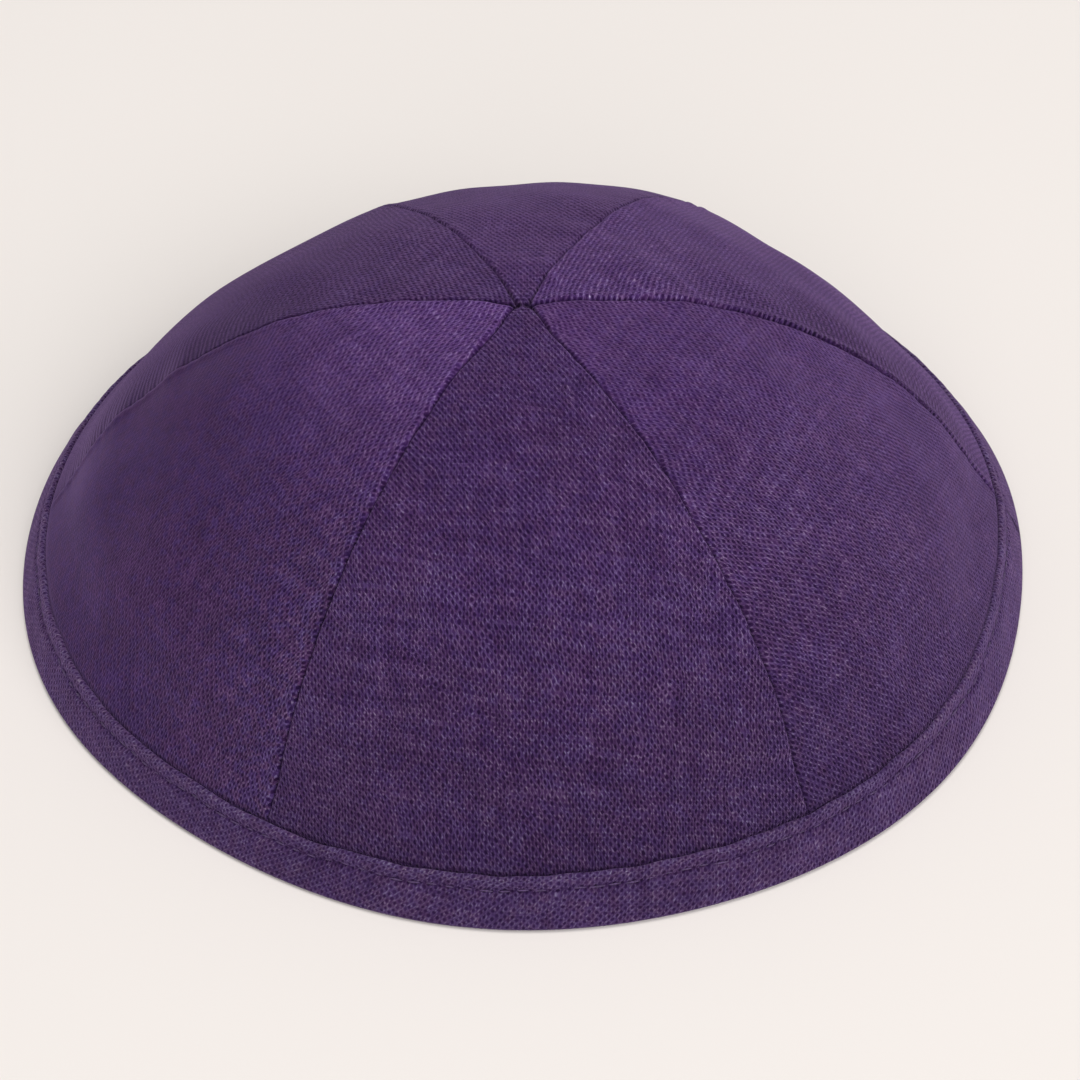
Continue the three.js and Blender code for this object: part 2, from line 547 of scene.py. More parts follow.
def unit_sheet(columns: int, rows: int, walled: bool) -> bpy.types.Mesh:
    """A flat grid over the square from -1 to 1, with a second layer a unit below if it is walled.

    Args:
        columns: cells along x.
        rows: cells along y.
        walled: whether the sheet gets a second layer and closed edges.

    Returns:
        The new mesh.
    """
    shape = bmesh.new()
    bmesh.ops.create_grid(shape, x_segments=columns, y_segments=rows, size=1.0)
    if walled:
        copied = bmesh.ops.extrude_face_region(shape, geom=shape.faces[:], use_keep_orig=True)
        lower = [part for part in copied["geom"] if isinstance(part, bmesh.types.BMVert)]
        bmesh.ops.translate(shape, verts=lower, vec=(0.0, 0.0, -1.0))
    return end_shape(shape, "sheet")


def sheet_places(mesh: bpy.types.Mesh) -> tuple[Array, Array, Array]:
    """Where each vertex of a unit sheet lies.

    Args:
        mesh: a mesh from unit_sheet.

    Returns:
        Shares from 0 to 1 along x and y, and whether the vertex is in the lower layer.
    """
    flat = np.empty(len(mesh.vertices) * 3)
    mesh.vertices.foreach_get("co", flat)
    places = flat.reshape(-1, 3)
    return (places[:, 0] + 1.0) / 2.0, (places[:, 1] + 1.0) / 2.0, places[:, 2] < -0.5


def store_numbers(mesh: bpy.types.Mesh, name: str, *numbers: Array | float) -> None:
    """Stores three numbers on each vertex of a mesh.

    Args:
        mesh: the mesh.
        name: the name they are read by.
        numbers: three of them, each one for all vertices or one for each.
    """
    rows = np.empty((len(mesh.vertices), 3), dtype=np.float32)
    for column, number in enumerate(numbers):
        rows[:, column] = number
    layer = mesh.attributes.new(name, "FLOAT_VECTOR", "POINT")
    layer.data.foreach_set("vector", rows.ravel())


def finish_mesh(mesh: bpy.types.Mesh, places: Array, merge: float, sharp: float) -> None:
    """Moves a mesh's vertices to their places, closes its joins and turns its faces outwards.

    Args:
        mesh: the mesh to finish.
        places: a row of x, y, z in metres for each vertex.
        merge: distance under which vertices become one, in metres.
        sharp: angle in degrees above which an edge stays sharp.
    """
    mesh.vertices.foreach_set("co", places.astype(np.float32).ravel())
    shape = bmesh.new()
    shape.from_mesh(mesh)
    bmesh.ops.remove_doubles(shape, verts=shape.verts[:], dist=merge)
    bmesh.ops.recalc_face_normals(shape, faces=shape.faces[:])
    for face in shape.faces:
        face.smooth = True
    shape.to_mesh(mesh)
    shape.free()
    mesh.set_sharp_from_angle(angle=math.radians(sharp))
    mesh.update()


def add_object(name: str, data: bpy.types.ID) -> bpy.types.Object:
    """Puts a mesh, lamp or camera in the scene.

    Args:
        name: the object's name.
        data: what it shows.

    Returns:
        The new object.
    """
    made = bpy.data.objects.new(name, data)
    bpy.context.scene.collection.objects.link(made)
    return made


def add_piece(name: str, mesh: bpy.types.Mesh, material: bpy.types.Material) -> bpy.types.Object:
    """Puts a finished mesh in the scene as a piece of the cap.

    Args:
        name: the piece's name.
        mesh: its mesh, in the row frame.
        material: its finish.

    Returns:
        The new object.
    """
    mesh.name = name
    mesh.materials.append(material)
    piece = add_object(name, mesh)
    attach(piece, BODY)
    LOG.info("%s: %d faces", name, len(mesh.polygons))
    return piece


# Finishes

@dataclass
class Wiring:
    """Adds nodes to a tree and joins them, so that a formula reads from left to right."""

    tree: bpy.types.NodeTree

    def node(self, kind: str, **settings: object) -> bpy.types.Node:
        """Adds a node.

        Args:
            kind: its type.
            settings: its settings by name.

        Returns:
            The new node.
        """
        made = self.tree.nodes.new(kind)
        for key, value in settings.items():
            setattr(made, key, value)
        return made

    def feed(self, socket: Socket, value: Input) -> None:
        """Joins a socket to another one, or sets it to a plain value.

        Args:
            socket: the socket to feed.
            value: the other socket, or the value.
        """
        if isinstance(value, bpy.types.NodeSocket):
            self.tree.links.new(value, socket)
        else:
            socket.default_value = value

    def feed_all(self, node: bpy.types.Node, values: dict[str, Input]) -> None:
        """Feeds some of a node's inputs by name."""
        for name, value in values.items():
            self.feed(node.inputs[name], value)

    def group(self, group: bpy.types.NodeTree, values: dict[str, Input]) -> bpy.types.bpy_prop_collection:
        """Places a group.

        Args:
            group: the group.
            values: its inputs by name.

        Returns:
            Its outputs.
        """
        made = self.node("ShaderNodeGroup", node_tree=group)
        self.feed_all(made, values)
        return made.outputs

    def math(self, operation: str, *values: Input) -> Socket:
        """Works out one operation.

        Args:
            operation: its name.
            values: what it works on.

        Returns:
            The result.
        """
        made = self.node("ShaderNodeMath", operation=operation)
        for socket, value in zip(made.inputs, values):
            self.feed(socket, value)
        return made.outputs[0]

    def plus(self, a: Input, b: Input) -> Socket:
        """a + b."""
        return self.math("ADD", a, b)

    def minus(self, a: Input, b: Input) -> Socket:
        """a - b."""
        return self.math("SUBTRACT", a, b)

    def times(self, a: Input, b: Input) -> Socket:
        """a * b."""
        return self.math("MULTIPLY", a, b)

    def times_plus(self, a: Input, b: Input, c: Input) -> Socket:
        """a * b + c."""
        return self.math("MULTIPLY_ADD", a, b, c)

    def centred(self, noise: Input) -> Socket:
        """A noise lowered so that its mean is 0."""
        return self.minus(noise, 0.5)

    def hump(self, value: Input, middle: float, width: float) -> Socket:
        """A bell of height 1 round middle."""
        away = self.times(self.minus(value, middle), 1.0 / width)
        return self.math("EXPONENT", self.times(self.times(away, away), -1.0))

    def attribute(self, name: str) -> Socket:
        """The three numbers stored on the cloth under a name."""
        return self.node("ShaderNodeAttribute", attribute_name=name).outputs["Vector"]

    def join(self, x: Input, y: Input, z: Input) -> Socket:
        """A vector from three numbers.

        Args:
            x: the first.
            y: the second.
            z: the third.

        Returns:
            The vector.
        """
        made = self.node("ShaderNodeCombineXYZ")
        for socket, value in zip(made.inputs, (x, y, z)):
            self.feed(socket, value)
        return made.outputs[0]

    def split(self, vector: Input) -> tuple[Socket, ...]:
        """The numbers of a vector.

        Args:
            vector: the vector.

        Returns:
            Its three numbers.
        """
        made = self.node("ShaderNodeSeparateXYZ")
        self.feed(made.inputs[0], vector)
        return tuple(made.outputs)

    def noise(self, vector: Input, scale: float = 1.0, detail: float = 0.0) -> Socket:
        """Smooth noise with a mean of a half.

        Args:
            vector: the place.
            scale: how fine it is.
            detail: how many finer layers it has.

        Returns:
            The noise there.
        """
        made = self.node("ShaderNodeTexNoise", noise_dimensions="3D")
        self.feed_all(made, {"Vector": vector, "Scale": scale, "Detail": detail})
        return made.outputs["Fac"]

    def drawn_noise(self, a: Input, b: Input, scales: Span, seed: Input, detail: float = 0.0) -> Socket:
        """Smooth noise that is drawn out more along one of two numbers."""
        return self.noise(self.join(self.times(a, scales[0]), self.times(b, scales[1]), seed), detail=detail)

    def remap(
        self, value: Input, low: float, high: float, to_low: Input = 0.0, to_high: Input = 1.0
    ) -> Socket:
        """Maps a number from one range to another, easing in and out.

        Args:
            value: the number.
            low: where the first range starts.
            high: where it ends.
            to_low: what low becomes.
            to_high: what high becomes.

        Returns:
            The mapped number.
        """
        made = self.node("ShaderNodeMapRange", interpolation_type="SMOOTHSTEP")
        self.feed_all(
            made,
            {"Value": value, "From Min": low, "From Max": high, "To Min": to_low, "To Max": to_high},
        )
        return made.outputs["Result"]

    def blend(self, share: Input, a: Input, b: Input, mode: str = "MIX") -> Socket:
        """Mixes two colours.

        Args:
            share: how much of the second is mixed in.
            a: the first colour.
            b: the second colour.
            mode: how they are mixed.

        Returns:
            The mixed colour.
        """
        made = self.node("ShaderNodeMix", data_type="RGBA", blend_type=mode)
        for identifier, value in (("Factor_Float", share), ("A_Color", a), ("B_Color", b)):
            socket = next(s for s in made.inputs if s.identifier == identifier)
            self.feed(socket, value)
        return next(s for s in made.outputs if s.identifier == "Result_Color")

    def shade(self, color: Input, by: Input) -> Socket:
        """A colour multiplied by another one."""
        return self.blend(1.0, color, by, mode="MULTIPLY")

    def grey(self, value: Input) -> Socket:
        """A grey of a brightness, for multiplying a colour."""
        return self.join(value, value, value)

    def bump(self, height: Input, distance: float) -> Socket:
        """A surface's direction where it has relief.

        Args:
            height: the relief.
            distance: how much of a metre one unit of it is.

        Returns:
            The normal.
        """
        made = self.node("ShaderNodeBump")
        self.feed_all(made, {"Strength": 1.0, "Distance": distance, "Height": height})
        return made.outputs["Normal"]


def new_group(
    name: str, inputs: dict[str, str], outputs: dict[str, str]
) -> tuple[bpy.types.NodeTree, Wiring]:
    """An empty shader node group with named sockets.

    Args:
        name: the group's name.
        inputs: kinds of its input sockets by name.
        outputs: kinds of its output sockets by name.

    Returns:
        The group and its wiring.
    """
    tree = bpy.data.node_groups.new(name, "ShaderNodeTree")
    for side, sockets in (("INPUT", inputs), ("OUTPUT", outputs)):
        for label, kind in sockets.items():
            tree.interface.new_socket(name=label, in_out=side, socket_type=kind)
    return tree, Wiring(tree)


def new_material(name: str) -> tuple[bpy.types.Material, Wiring, bpy.types.Node]:
    """A material with a plain shader.

    Args:
        name: its name.

    Returns:
        The material, its wiring and its shader.
    """
    material = bpy.data.materials.new(name)
    material.use_nodes = True
    shader = next(n for n in material.node_tree.nodes if n.type == "BSDF_PRINCIPLED")
    return material, Wiring(material.node_tree), shader


@dataclass(frozen=True)
class ThreadPlace:
    """Where a place lies among the threads.

    x and y are its place on the cloth, with the threads' sway taken in, and warp and weft count the threads
    up to it. warp_crowd and weft_crowd say how closely the threads lie there.
    """

    x: Socket
    y: Socket
    seed: Socket
    warp: Socket
    weft: Socket
    warp_crowd: Socket
    weft_crowd: Socket


@dataclass(frozen=True)
class PlainWeave:
    """Open plain weave: a light net of threads round staggered dark holes, uneven as spun linen is.

    The net is a sum of four waves over the cloth: two along the diagonals of the cells, one across the warp
    and one across the weft. Every other cell's middle is then a hole. sway, crowd, life, glints and fibre are
    noises over it, with their scales and seeds, and a life between the slubs' limits thickens a thread. The
    glints are painted highlights: short light dashes where fibres catch the light.
    """

    sway: float = 2.2
    sway_scale: float = 0.10
    sway_seeds: Span = (1.7, 5.1)
    crowd: float = 0.5
    warp_crowd_scales: Span = (0.9, 0.08)
    weft_crowd_scales: Span = (0.08, 0.7)
    weft_crowd_seed: float = 2.9
    warp_life_scales: Span = (3.71, 0.20)
    warp_life_seed: float = 3.3
    weft_life_scales: Span = (0.16, 4.33)
    weft_life_seed: float = 8.1
    warp_slubs: Span = (0.70, 0.80)
    weft_slubs: Span = (0.66, 0.76)
    lean_fade: float = 0.9
    net_shift: float = 0.04
    net_steepness: float = 2.0
    net_depth: float = 0.80
    hole_depth: float = 0.10
    stroke_slant: Span = (4.2, -2.3)
    stroke_scale: float = 1.3
    painted_glints: Span = (0.48, 0.66)
    on_threads: Span = (-0.6, 0.2)
    fibre_scales: Span = (4.0, 3.0)
    life_light: float = 0.8
    streak_light: float = 0.5
    slub_light: float = 0.45
    slub_height: float = 0.05
    light_height: float = 0.10

    def build(self) -> bpy.types.NodeTree:
        """Makes the group.

        Returns:
            A group from a place on the flat cloth to the threads' height in millimetres and the logarithm
            of their lightness.
        """
        number = "NodeSocketFloat"
        inputs = (
            "Warp Pitch",
            "Weft Pitch",
            "Diagonals",
            "Lean",
            "Warp Gaps",
            "Weft Gaps",
            "Unevenness",
            "Fibre",
            "Painted Glints",
            "Slub",
        )
        tree, w = new_group(
            "plain_weave",
            {"Place": "NodeSocketVector", **{name: number for name in inputs}},
            {"Height": number, "Lightness": number},
        )
        given = w.node("NodeGroupInput").outputs
        put = w.node("NodeGroupOutput").inputs
        at = self.threads(w, given)

        # Each thread is thicker here and thinner there, and now and then has a slub
        warp_number = w.math("FLOOR", w.plus(at.warp, 0.5))
        weft_number = w.math("FLOOR", w.plus(at.weft, 0.5))
        warp_seed, weft_seed = w.plus(at.seed, self.warp_life_seed), w.plus(at.seed, self.weft_life_seed)
        warp_life = w.drawn_noise(warp_number, at.y, self.warp_life_scales, warp_seed)
        weft_life = w.drawn_noise(at.x, weft_number, self.weft_life_scales, weft_seed)
        warp_slub = w.remap(warp_life, *self.warp_slubs)
        weft_slub = w.remap(weft_life, *self.weft_slubs)
        slub = w.times(w.math("MAXIMUM", warp_slub, weft_slub), given["Slub"])

        # Holes and threads are each even, with a quick change between, and slubs fill the holes
        net = w.plus(self.net(w, given, at), self.net_shift)
        net = w.times(w.math("TANH", w.times(net, self.net_steepness)), self.net_depth)
        hole = w.math("MAXIMUM", w.times(net, -1.0), 0.0)
        single = w.node("ShaderNodeTexWhiteNoise", noise_dimensions="3D")
        w.feed(single.inputs["Vector"], w.join(warp_number, weft_number, at.seed))
        uneven = w.times_plus(w.centred(single.outputs["Value"]), given["Unevenness"], self.hole_depth)
        net = w.plus(net, w.times(hole, uneven))
        net = w.times(net, w.minus(1.0, slub))

        life = w.minus(w.plus(warp_life, weft_life), 1.0)
        light = self.light(w, given, at, net, life)
        w.feed(put["Lightness"], w.times_plus(slub, self.slub_light, light))
        w.feed(put["Height"], w.times_plus(slub, self.slub_height, w.times(light, self.light_height)))
        return tree

    def threads(self, w: Wiring, given: bpy.types.bpy_prop_collection) -> ThreadPlace:
        """Lets the threads wander gently together, with gaps that vary from thread to thread.

        Args:
            w: the group's wiring.
            given: the group's inputs.

        Returns:
            Where each place then lies.
        """
        x, y, seed = w.split(given["Place"])
        sway_x, sway_y = (
            w.noise(w.join(x, y, w.plus(seed, apart)), scale=self.sway_scale, detail=2.0)
            for apart in self.sway_seeds
        )
        x = w.times_plus(w.centred(sway_x), self.sway, x)
        y = w.times_plus(w.centred(sway_y), self.sway, y)
        warp_crowd = w.drawn_noise(x, y, self.warp_crowd_scales, seed)
        weft_crowd = w.drawn_noise(x, y, self.weft_crowd_scales, w.plus(seed, self.weft_crowd_seed))
        warp = w.times_plus(w.centred(warp_crowd), self.crowd, w.math("DIVIDE", x, given["Warp Pitch"]))
        weft = w.times_plus(w.centred(weft_crowd), self.crowd, w.math("DIVIDE", y, given["Weft Pitch"]))
        return ThreadPlace(x, y, seed, warp, weft, warp_crowd, weft_crowd)

    def net(self, w: Wiring, given: bpy.types.bpy_prop_collection, at: ThreadPlace) -> Socket:
        """Sums the weave's waves. Where one diagonal stands out, the other one and the gaps fade.

        Args:
            w: the group's wiring.
            given: the group's inputs.
            at: the place among the threads.

        Returns:
            The sum, above 0 on the threads and below it in the holes.
        """
        lean, diagonals = given["Lean"], given["Diagonals"]
        gaps = w.math("MINIMUM", w.times_plus(w.math("ABSOLUTE", lean), self.lean_fade, -1.0), 0.0)
        forward = w.times(diagonals, w.math("MINIMUM", w.plus(1.0, lean), 1.0))
        backward = w.times(diagonals, w.math("MINIMUM", w.minus(1.0, lean), 1.0))
        total = None
        for strength, toward_warp, toward_weft in (
            (forward, 1.0, -1.0),
            (backward, 1.0, 1.0),
            (w.times(given["Warp Gaps"], gaps), 2.0, 0.0),
            (w.times(given["Weft Gaps"], gaps), 0.0, 2.0),
        ):
            phase = w.plus(w.times(at.warp, toward_warp * math.pi), w.times(at.weft, toward_weft * math.pi))
            wave = w.times(w.math("COSINE", phase), strength)
            total = wave if total is None else w.plus(total, wave)
        return total

    def light(
        self, w: Wiring, given: bpy.types.bpy_prop_collection, at: ThreadPlace, net: Input, life: Input
    ) -> Socket:
        """Adds the threads' streaks, and painted glints: short light dashes where the fibres on their backs
        catch the light.

        Args:
            w: the group's wiring.
            given: the group's inputs.
            at: the place among the threads.
            net: the net of threads and holes.
            life: how thick the threads are.

        Returns:
            The logarithm of the lightness.
        """
        # Painted glints: short light dashes where fibres on the threads' backs catch the light
        leaning = w.times_plus(at.y, self.stroke_slant[1], w.times(at.x, self.stroke_slant[0]))
        glint = w.noise(w.join(leaning, w.times(at.y, self.stroke_scale), at.seed), detail=1.0)
        glint = w.times(w.remap(glint, *self.painted_glints), w.remap(net, *self.on_threads))
        fibre = w.drawn_noise(at.x, at.y, self.fibre_scales, at.seed, detail=3.0)
        streaks = w.minus(w.plus(at.warp_crowd, at.weft_crowd), 1.0)
        light = w.times_plus(life, self.life_light, w.times_plus(streaks, self.streak_light, net))
        light = w.times_plus(w.centred(fibre), given["Fibre"], light)
        return w.times_plus(glint, given["Painted Glints"], light)


@dataclass(frozen=True)
class UnevenDye:
    """Uneven dye: the cloth's colour drifts between a bluer and a redder purple, and in lightness."""

    fine_scale: float = 0.55
    broad_scale: float = 0.045
    broad_share: float = 0.5
    hues: Span = (0.36, 0.64)
    cloudy_scale: float = 0.13
    cloudy: float = 0.5
    apart: float = 7.3
    patchy_scale: float = 0.42
    patchy: float = 0.45
    grain_scale: float = 2.1
    grain: float = 0.45

    def build(self) -> bpy.types.NodeTree:
        """Makes the group.

        Returns:
            A group from a place on the flat cloth and two colours to one colour.
        """
        vector, number, color = "NodeSocketVector", "NodeSocketFloat", "NodeSocketColor"
        tree, w = new_group(
            "uneven_dye",
            {"Place": vector, "Mottle": number, "Blue": color, "Red": color},
            {"Color": color},
        )
        given = w.node("NodeGroupInput").outputs
        put = w.node("NodeGroupOutput").inputs
        place, mottle = given["Place"], given["Mottle"]
        fine = w.noise(place, scale=self.fine_scale, detail=2.0)
        broad = w.noise(place, scale=self.broad_scale, detail=2.0)
        hue = w.remap(w.times_plus(w.centred(broad), self.broad_share, fine), *self.hues)
        hue = w.times_plus(w.centred(hue), mottle, 0.5)
        tint = w.blend(hue, given["Blue"], given["Red"])
        cloudy = w.centred(w.noise(place, scale=self.cloudy_scale, detail=3.0))
        apart = w.join(*(w.plus(part, self.apart) for part in w.split(place)))
        patchy = w.times(w.centred(w.noise(apart, scale=self.patchy_scale, detail=3.0)), mottle)
        grain = w.times(w.centred(w.noise(apart, scale=self.grain_scale, detail=2.0)), mottle)
        light = w.times_plus(patchy, self.patchy, w.times_plus(cloudy, self.cloudy, 1.0))
        light = w.times_plus(grain, self.grain, light)
        w.feed(put["Color"], w.shade(tint, w.grey(light)))
        return tree


@dataclass(frozen=True)
class ClothSockets:
    """What a finish reads from the cloth's vertices."""

    place: Socket
    seed: Socket
    from_edge: Socket
    along: Socket
    below_fold: Socket
    open_weave: Socket
    tone: Socket
    mark: Socket
    lean: Socket
    mottle: Socket
    ribs: Socket

    @classmethod
    def read(cls, w: Wiring) -> "ClothSockets":
        """Reads the stored numbers.

        Args:
            w: the material's wiring.

        Returns:
            A socket for each of them.
        """
        place = w.attribute(WEAVE_PLACE)
        _, _, seed = w.split(place)
        stored = (SEWN_EDGE, CLOTH_STATE, WEAVE_LEAN)
        return cls(place, seed, *(part for name in stored for part in w.split(w.attribute(name))))


@dataclass(frozen=True)
class LinenFinish:
    """Matt linen in purple, woven of two sets of threads.

    blue and red are the two purples that its dye drifts between, and depth_tint says how quickly each of
    red, green and blue darkens with depth. The pitches of the threads, loops and ribs are in millimetres,
    and slant turns the weave, in degrees. diagonals and the gaps are the strengths of the weave's waves,
    unevenness, fibre and slub say how its threads vary, and painted_glints how strongly painted glints show
    where the fibres on their backs catch the light. crease_shade is the depth of the painted shade at a sewn
    edge, in a seam's valley, along the binding's upper edge and in the pit at the top, and loops the strength
    of the loops beside it. fold_highlight is a painted highlight on the binding's rolled fold, and
    stitch_groove_shade the depth of the painted shade along its stitches. sheen is a faint fuzz.
    """

    name: str
    blue: Color
    red: Color
    warp_pitch: float
    weft_pitch: float
    diagonals: float
    warp_gaps: float
    weft_gaps: float
    slant: float
    depth_tint: Color
    loop_pitch: float
    loops: float
    fold_highlight: float
    stitch_groove_shade: float
    unevenness: float = 0.6
    fibre: float = 1.0
    painted_glints: float = 0.95
    slub: float = 0.4
    crease_shade: float = -0.7
    crease_shade_reach: float = 0.35
    loop_middle: float = 0.55
    loop_width: float = 0.38
    loop_start: Span = (1.0, 3.0)
    fitful_scale: float = 0.11
    fitful: Span = (0.38, 0.62)
    fold_middle: float = 0.5
    fold_width: float = 0.6
    groove_width: float = 0.32
    rib_pitch: float = 1.04
    rib_slant: float = -0.22
    rib_wander: float = 5.0
    rib_wander_scales: Span = (0.5, 0.10)
    rib_depth: float = 0.8
    rib_height: float = 0.035
    roughness: float = 0.85
    gloss: float = 0.06
    sheen: float = 0.32
    sheen_roughness: float = 0.45
    sheen_tint: Color = (0.62, 0.38, 0.88)

    def build(self, weave: bpy.types.NodeTree, dye: bpy.types.NodeTree) -> bpy.types.Material:
        """Makes the material.

        Args:
            weave: the plain weave group.
            dye: the uneven dye group.

        Returns:
            The new material.
        """
        material, w, shader = new_material(self.name)
        cloth = ClothSockets.read(w)
        woven = self.weave_threads(w, cloth, weave)
        dyed = w.group(
            dye,
            {
                "Place": cloth.place,
                "Mottle": cloth.mottle,
                "Blue": (*self.blue, 1.0),
                "Red": (*self.red, 1.0),
            },
        )
        rib = self.rib(w, cloth)
        depth = self.depth(w, cloth, woven["Lightness"], rib)
        threads = (w.math("EXPONENT", w.times(depth, share)) for share in self.depth_tint)
        # The dyed colour takes the gore's lightness, partly its own and partly painted light and shade, and
        # the depths, painted shade and highlights among them
        color = w.shade(w.shade(dyed["Color"], w.grey(cloth.tone)), w.join(*threads))
        ridge = w.times(w.times(rib, cloth.ribs), self.rib_height)
        height = w.times_plus(woven["Height"], cloth.open_weave, ridge)
        w.feed_all(
            shader,
            {
                "Base Color": color,
                "Normal": w.bump(height, MM),
                "Roughness": self.roughness,
                "Specular IOR Level": self.gloss,
                "Sheen Weight": self.sheen,
                "Sheen Roughness": self.sheen_roughness,
                "Sheen Tint": (*self.sheen_tint, 1.0),
            },
        )
        return material

    def weave_threads(
        self, w: Wiring, cloth: ClothSockets, weave: bpy.types.NodeTree
    ) -> bpy.types.bpy_prop_collection:
        """Places the weave on the cloth.

        Args:
            w: the material's wiring.
            cloth: what the cloth's vertices say.
            weave: the plain weave group.

        Returns:
            The threads' height and lightness.
        """
        turned = w.node("ShaderNodeMapping")
        w.feed_all(turned, {"Vector": cloth.place, "Rotation": (0.0, 0.0, math.radians(self.slant))})
        return w.group(
            weave,
            {
                "Place": turned.outputs["Vector"],
                "Warp Pitch": self.warp_pitch,
                "Weft Pitch": self.weft_pitch,
                "Diagonals": self.diagonals,
                "Lean": cloth.lean,
                "Warp Gaps": self.warp_gaps,
                "Weft Gaps": self.weft_gaps,
                "Unevenness": self.unevenness,
                "Fibre": self.fibre,
                "Painted Glints": self.painted_glints,
                "Slub": self.slub,
            },
        )

    def rib(self, w: Wiring, cloth: ClothSockets) -> Socket:
        """Ribs across the cloth, where the turned edge behind it shows through beside a seam that bends away.

        Args:
            w: the material's wiring.
            cloth: what the cloth's vertices say.

        Returns:
            A wave from -1 between the ribs to 1 on them.
        """
        uneven = w.drawn_noise(cloth.along, cloth.from_edge, self.rib_wander_scales, cloth.seed)
        uneven = w.times(w.centred(uneven), self.rib_wander)
        slanted = w.times_plus(cloth.from_edge, self.rib_slant, cloth.along)
        return w.math("COSINE", w.times_plus(slanted, math.tau / self.rib_pitch, uneven))

    def depth(self, w: Wiring, cloth: ClothSockets, lightness: Input, rib: Input) -> Socket:
        """Adds up what makes the cloth's colour lighter or deeper, painted shade and highlights among it.

        Args:
            w: the material's wiring.
            cloth: what the cloth's vertices say.
            lightness: the threads' own lightness.
            rib: the wave of the ribs.

        Returns:
            The sum, as a logarithm.
        """
        # Painted shade along the sewn edges: in the seams' valleys, along the binding's upper edge and in the
        # pit at the top
        crease_shade = w.times(w.remap(cloth.from_edge, 0.0, self.crease_shade_reach, self.crease_shade, 0.0), cloth.mark)
        depth = w.times_plus(lightness, cloth.open_weave, crease_shade)

        # Where the stitches pull the edge in, small light loops and dark dents follow each other
        pulled = w.hump(cloth.from_edge, self.loop_middle, self.loop_width)
        fitful = w.noise(w.join(w.times(cloth.along, self.fitful_scale), cloth.seed, 0.5))
        fitful = w.times(w.remap(fitful, *self.fitful), self.loops)
        loops = w.math("COSINE", w.times(cloth.along, math.tau / self.loop_pitch))
        loops = w.times(loops, w.times(pulled, fitful))
        loops = w.times(loops, w.remap(cloth.below_fold, *self.loop_start))
        depth = w.times_plus(loops, cloth.mark, depth)

        between_ribs = w.times_plus(rib, self.rib_depth, -self.rib_depth)
        depth = w.times_plus(between_ribs, cloth.ribs, depth)
        # A painted highlight on the binding's rolled fold, and painted shade along its line of stitches
        rolled_fold = (self.fold_middle, self.fold_width, self.fold_highlight)
        stitch_line = (STITCH_DROP, self.groove_width, self.stitch_groove_shade)
        for middle, width, light in (rolled_fold, stitch_line):
            depth = w.times_plus(w.hump(cloth.below_fold, middle, width), light, depth)
        return depth


@dataclass(frozen=True)
class ThreadFinish:
    """Sewing thread with its plies."""

    name: str
    color: Color
    sheen: float
    fibre_scale: float = 2600.0
    fibre_height: float = 0.05
    roughness: float = 0.7
    gloss: float = 0.3

    def build(self) -> bpy.types.Material:
        """Makes the material.

        Returns:
            The new material.
        """
        material, w, shader = new_material(self.name)
        place = w.node("ShaderNodeTexCoord").outputs["Object"]
        fibre = w.noise(place, scale=self.fibre_scale, detail=1.0)
        light = w.remap(fibre, 0.3, 0.7, 0.7, 1.25)
        w.feed_all(
            shader,
            {
                "Base Color": w.shade((*self.color, 1.0), w.grey(light)),
                "Normal": w.bump(fibre, self.fibre_height * MM),
                "Roughness": self.roughness,
                "Specular IOR Level": self.gloss,
                "Sheen Weight": self.sheen,
            },
        )
        return material


@dataclass(frozen=True)
class PlainFinish:
    """A plain matt colour, for the floor, which isn't part of the cap."""

    name: str
    color: Color

    def build(self) -> bpy.types.Material:
        """Makes the material.

        Returns:
            The new material.
        """
        material, w, shader = new_material(self.name)
        w.feed_all(
            shader,
            {"Base Color": (*self.color, 1.0), "Roughness": 1.0, "Specular IOR Level": 0.0},
        )
        return material


# The pieces of the cap

@dataclass(frozen=True)
class GoreGrid:
    """Where the vertices of one gore lie.

    u and s are the shares across and down the gore, along is the way down from the top point, width is the
    gore's width there, and distance the way to the nearer seam. above is the way up from the binding's upper
    edge, and from_pit the way from the pit beside the top point. clockwise says whether the clockwise seam
    is the nearer one, and inner whether the vertex is on the inside.
    """

    panel: int
    u: Array
    s: Array
    along: Array
    width: Array
    distance: Array
    above: Array
    from_pit: Array
    clockwise: Array
    inner: Array


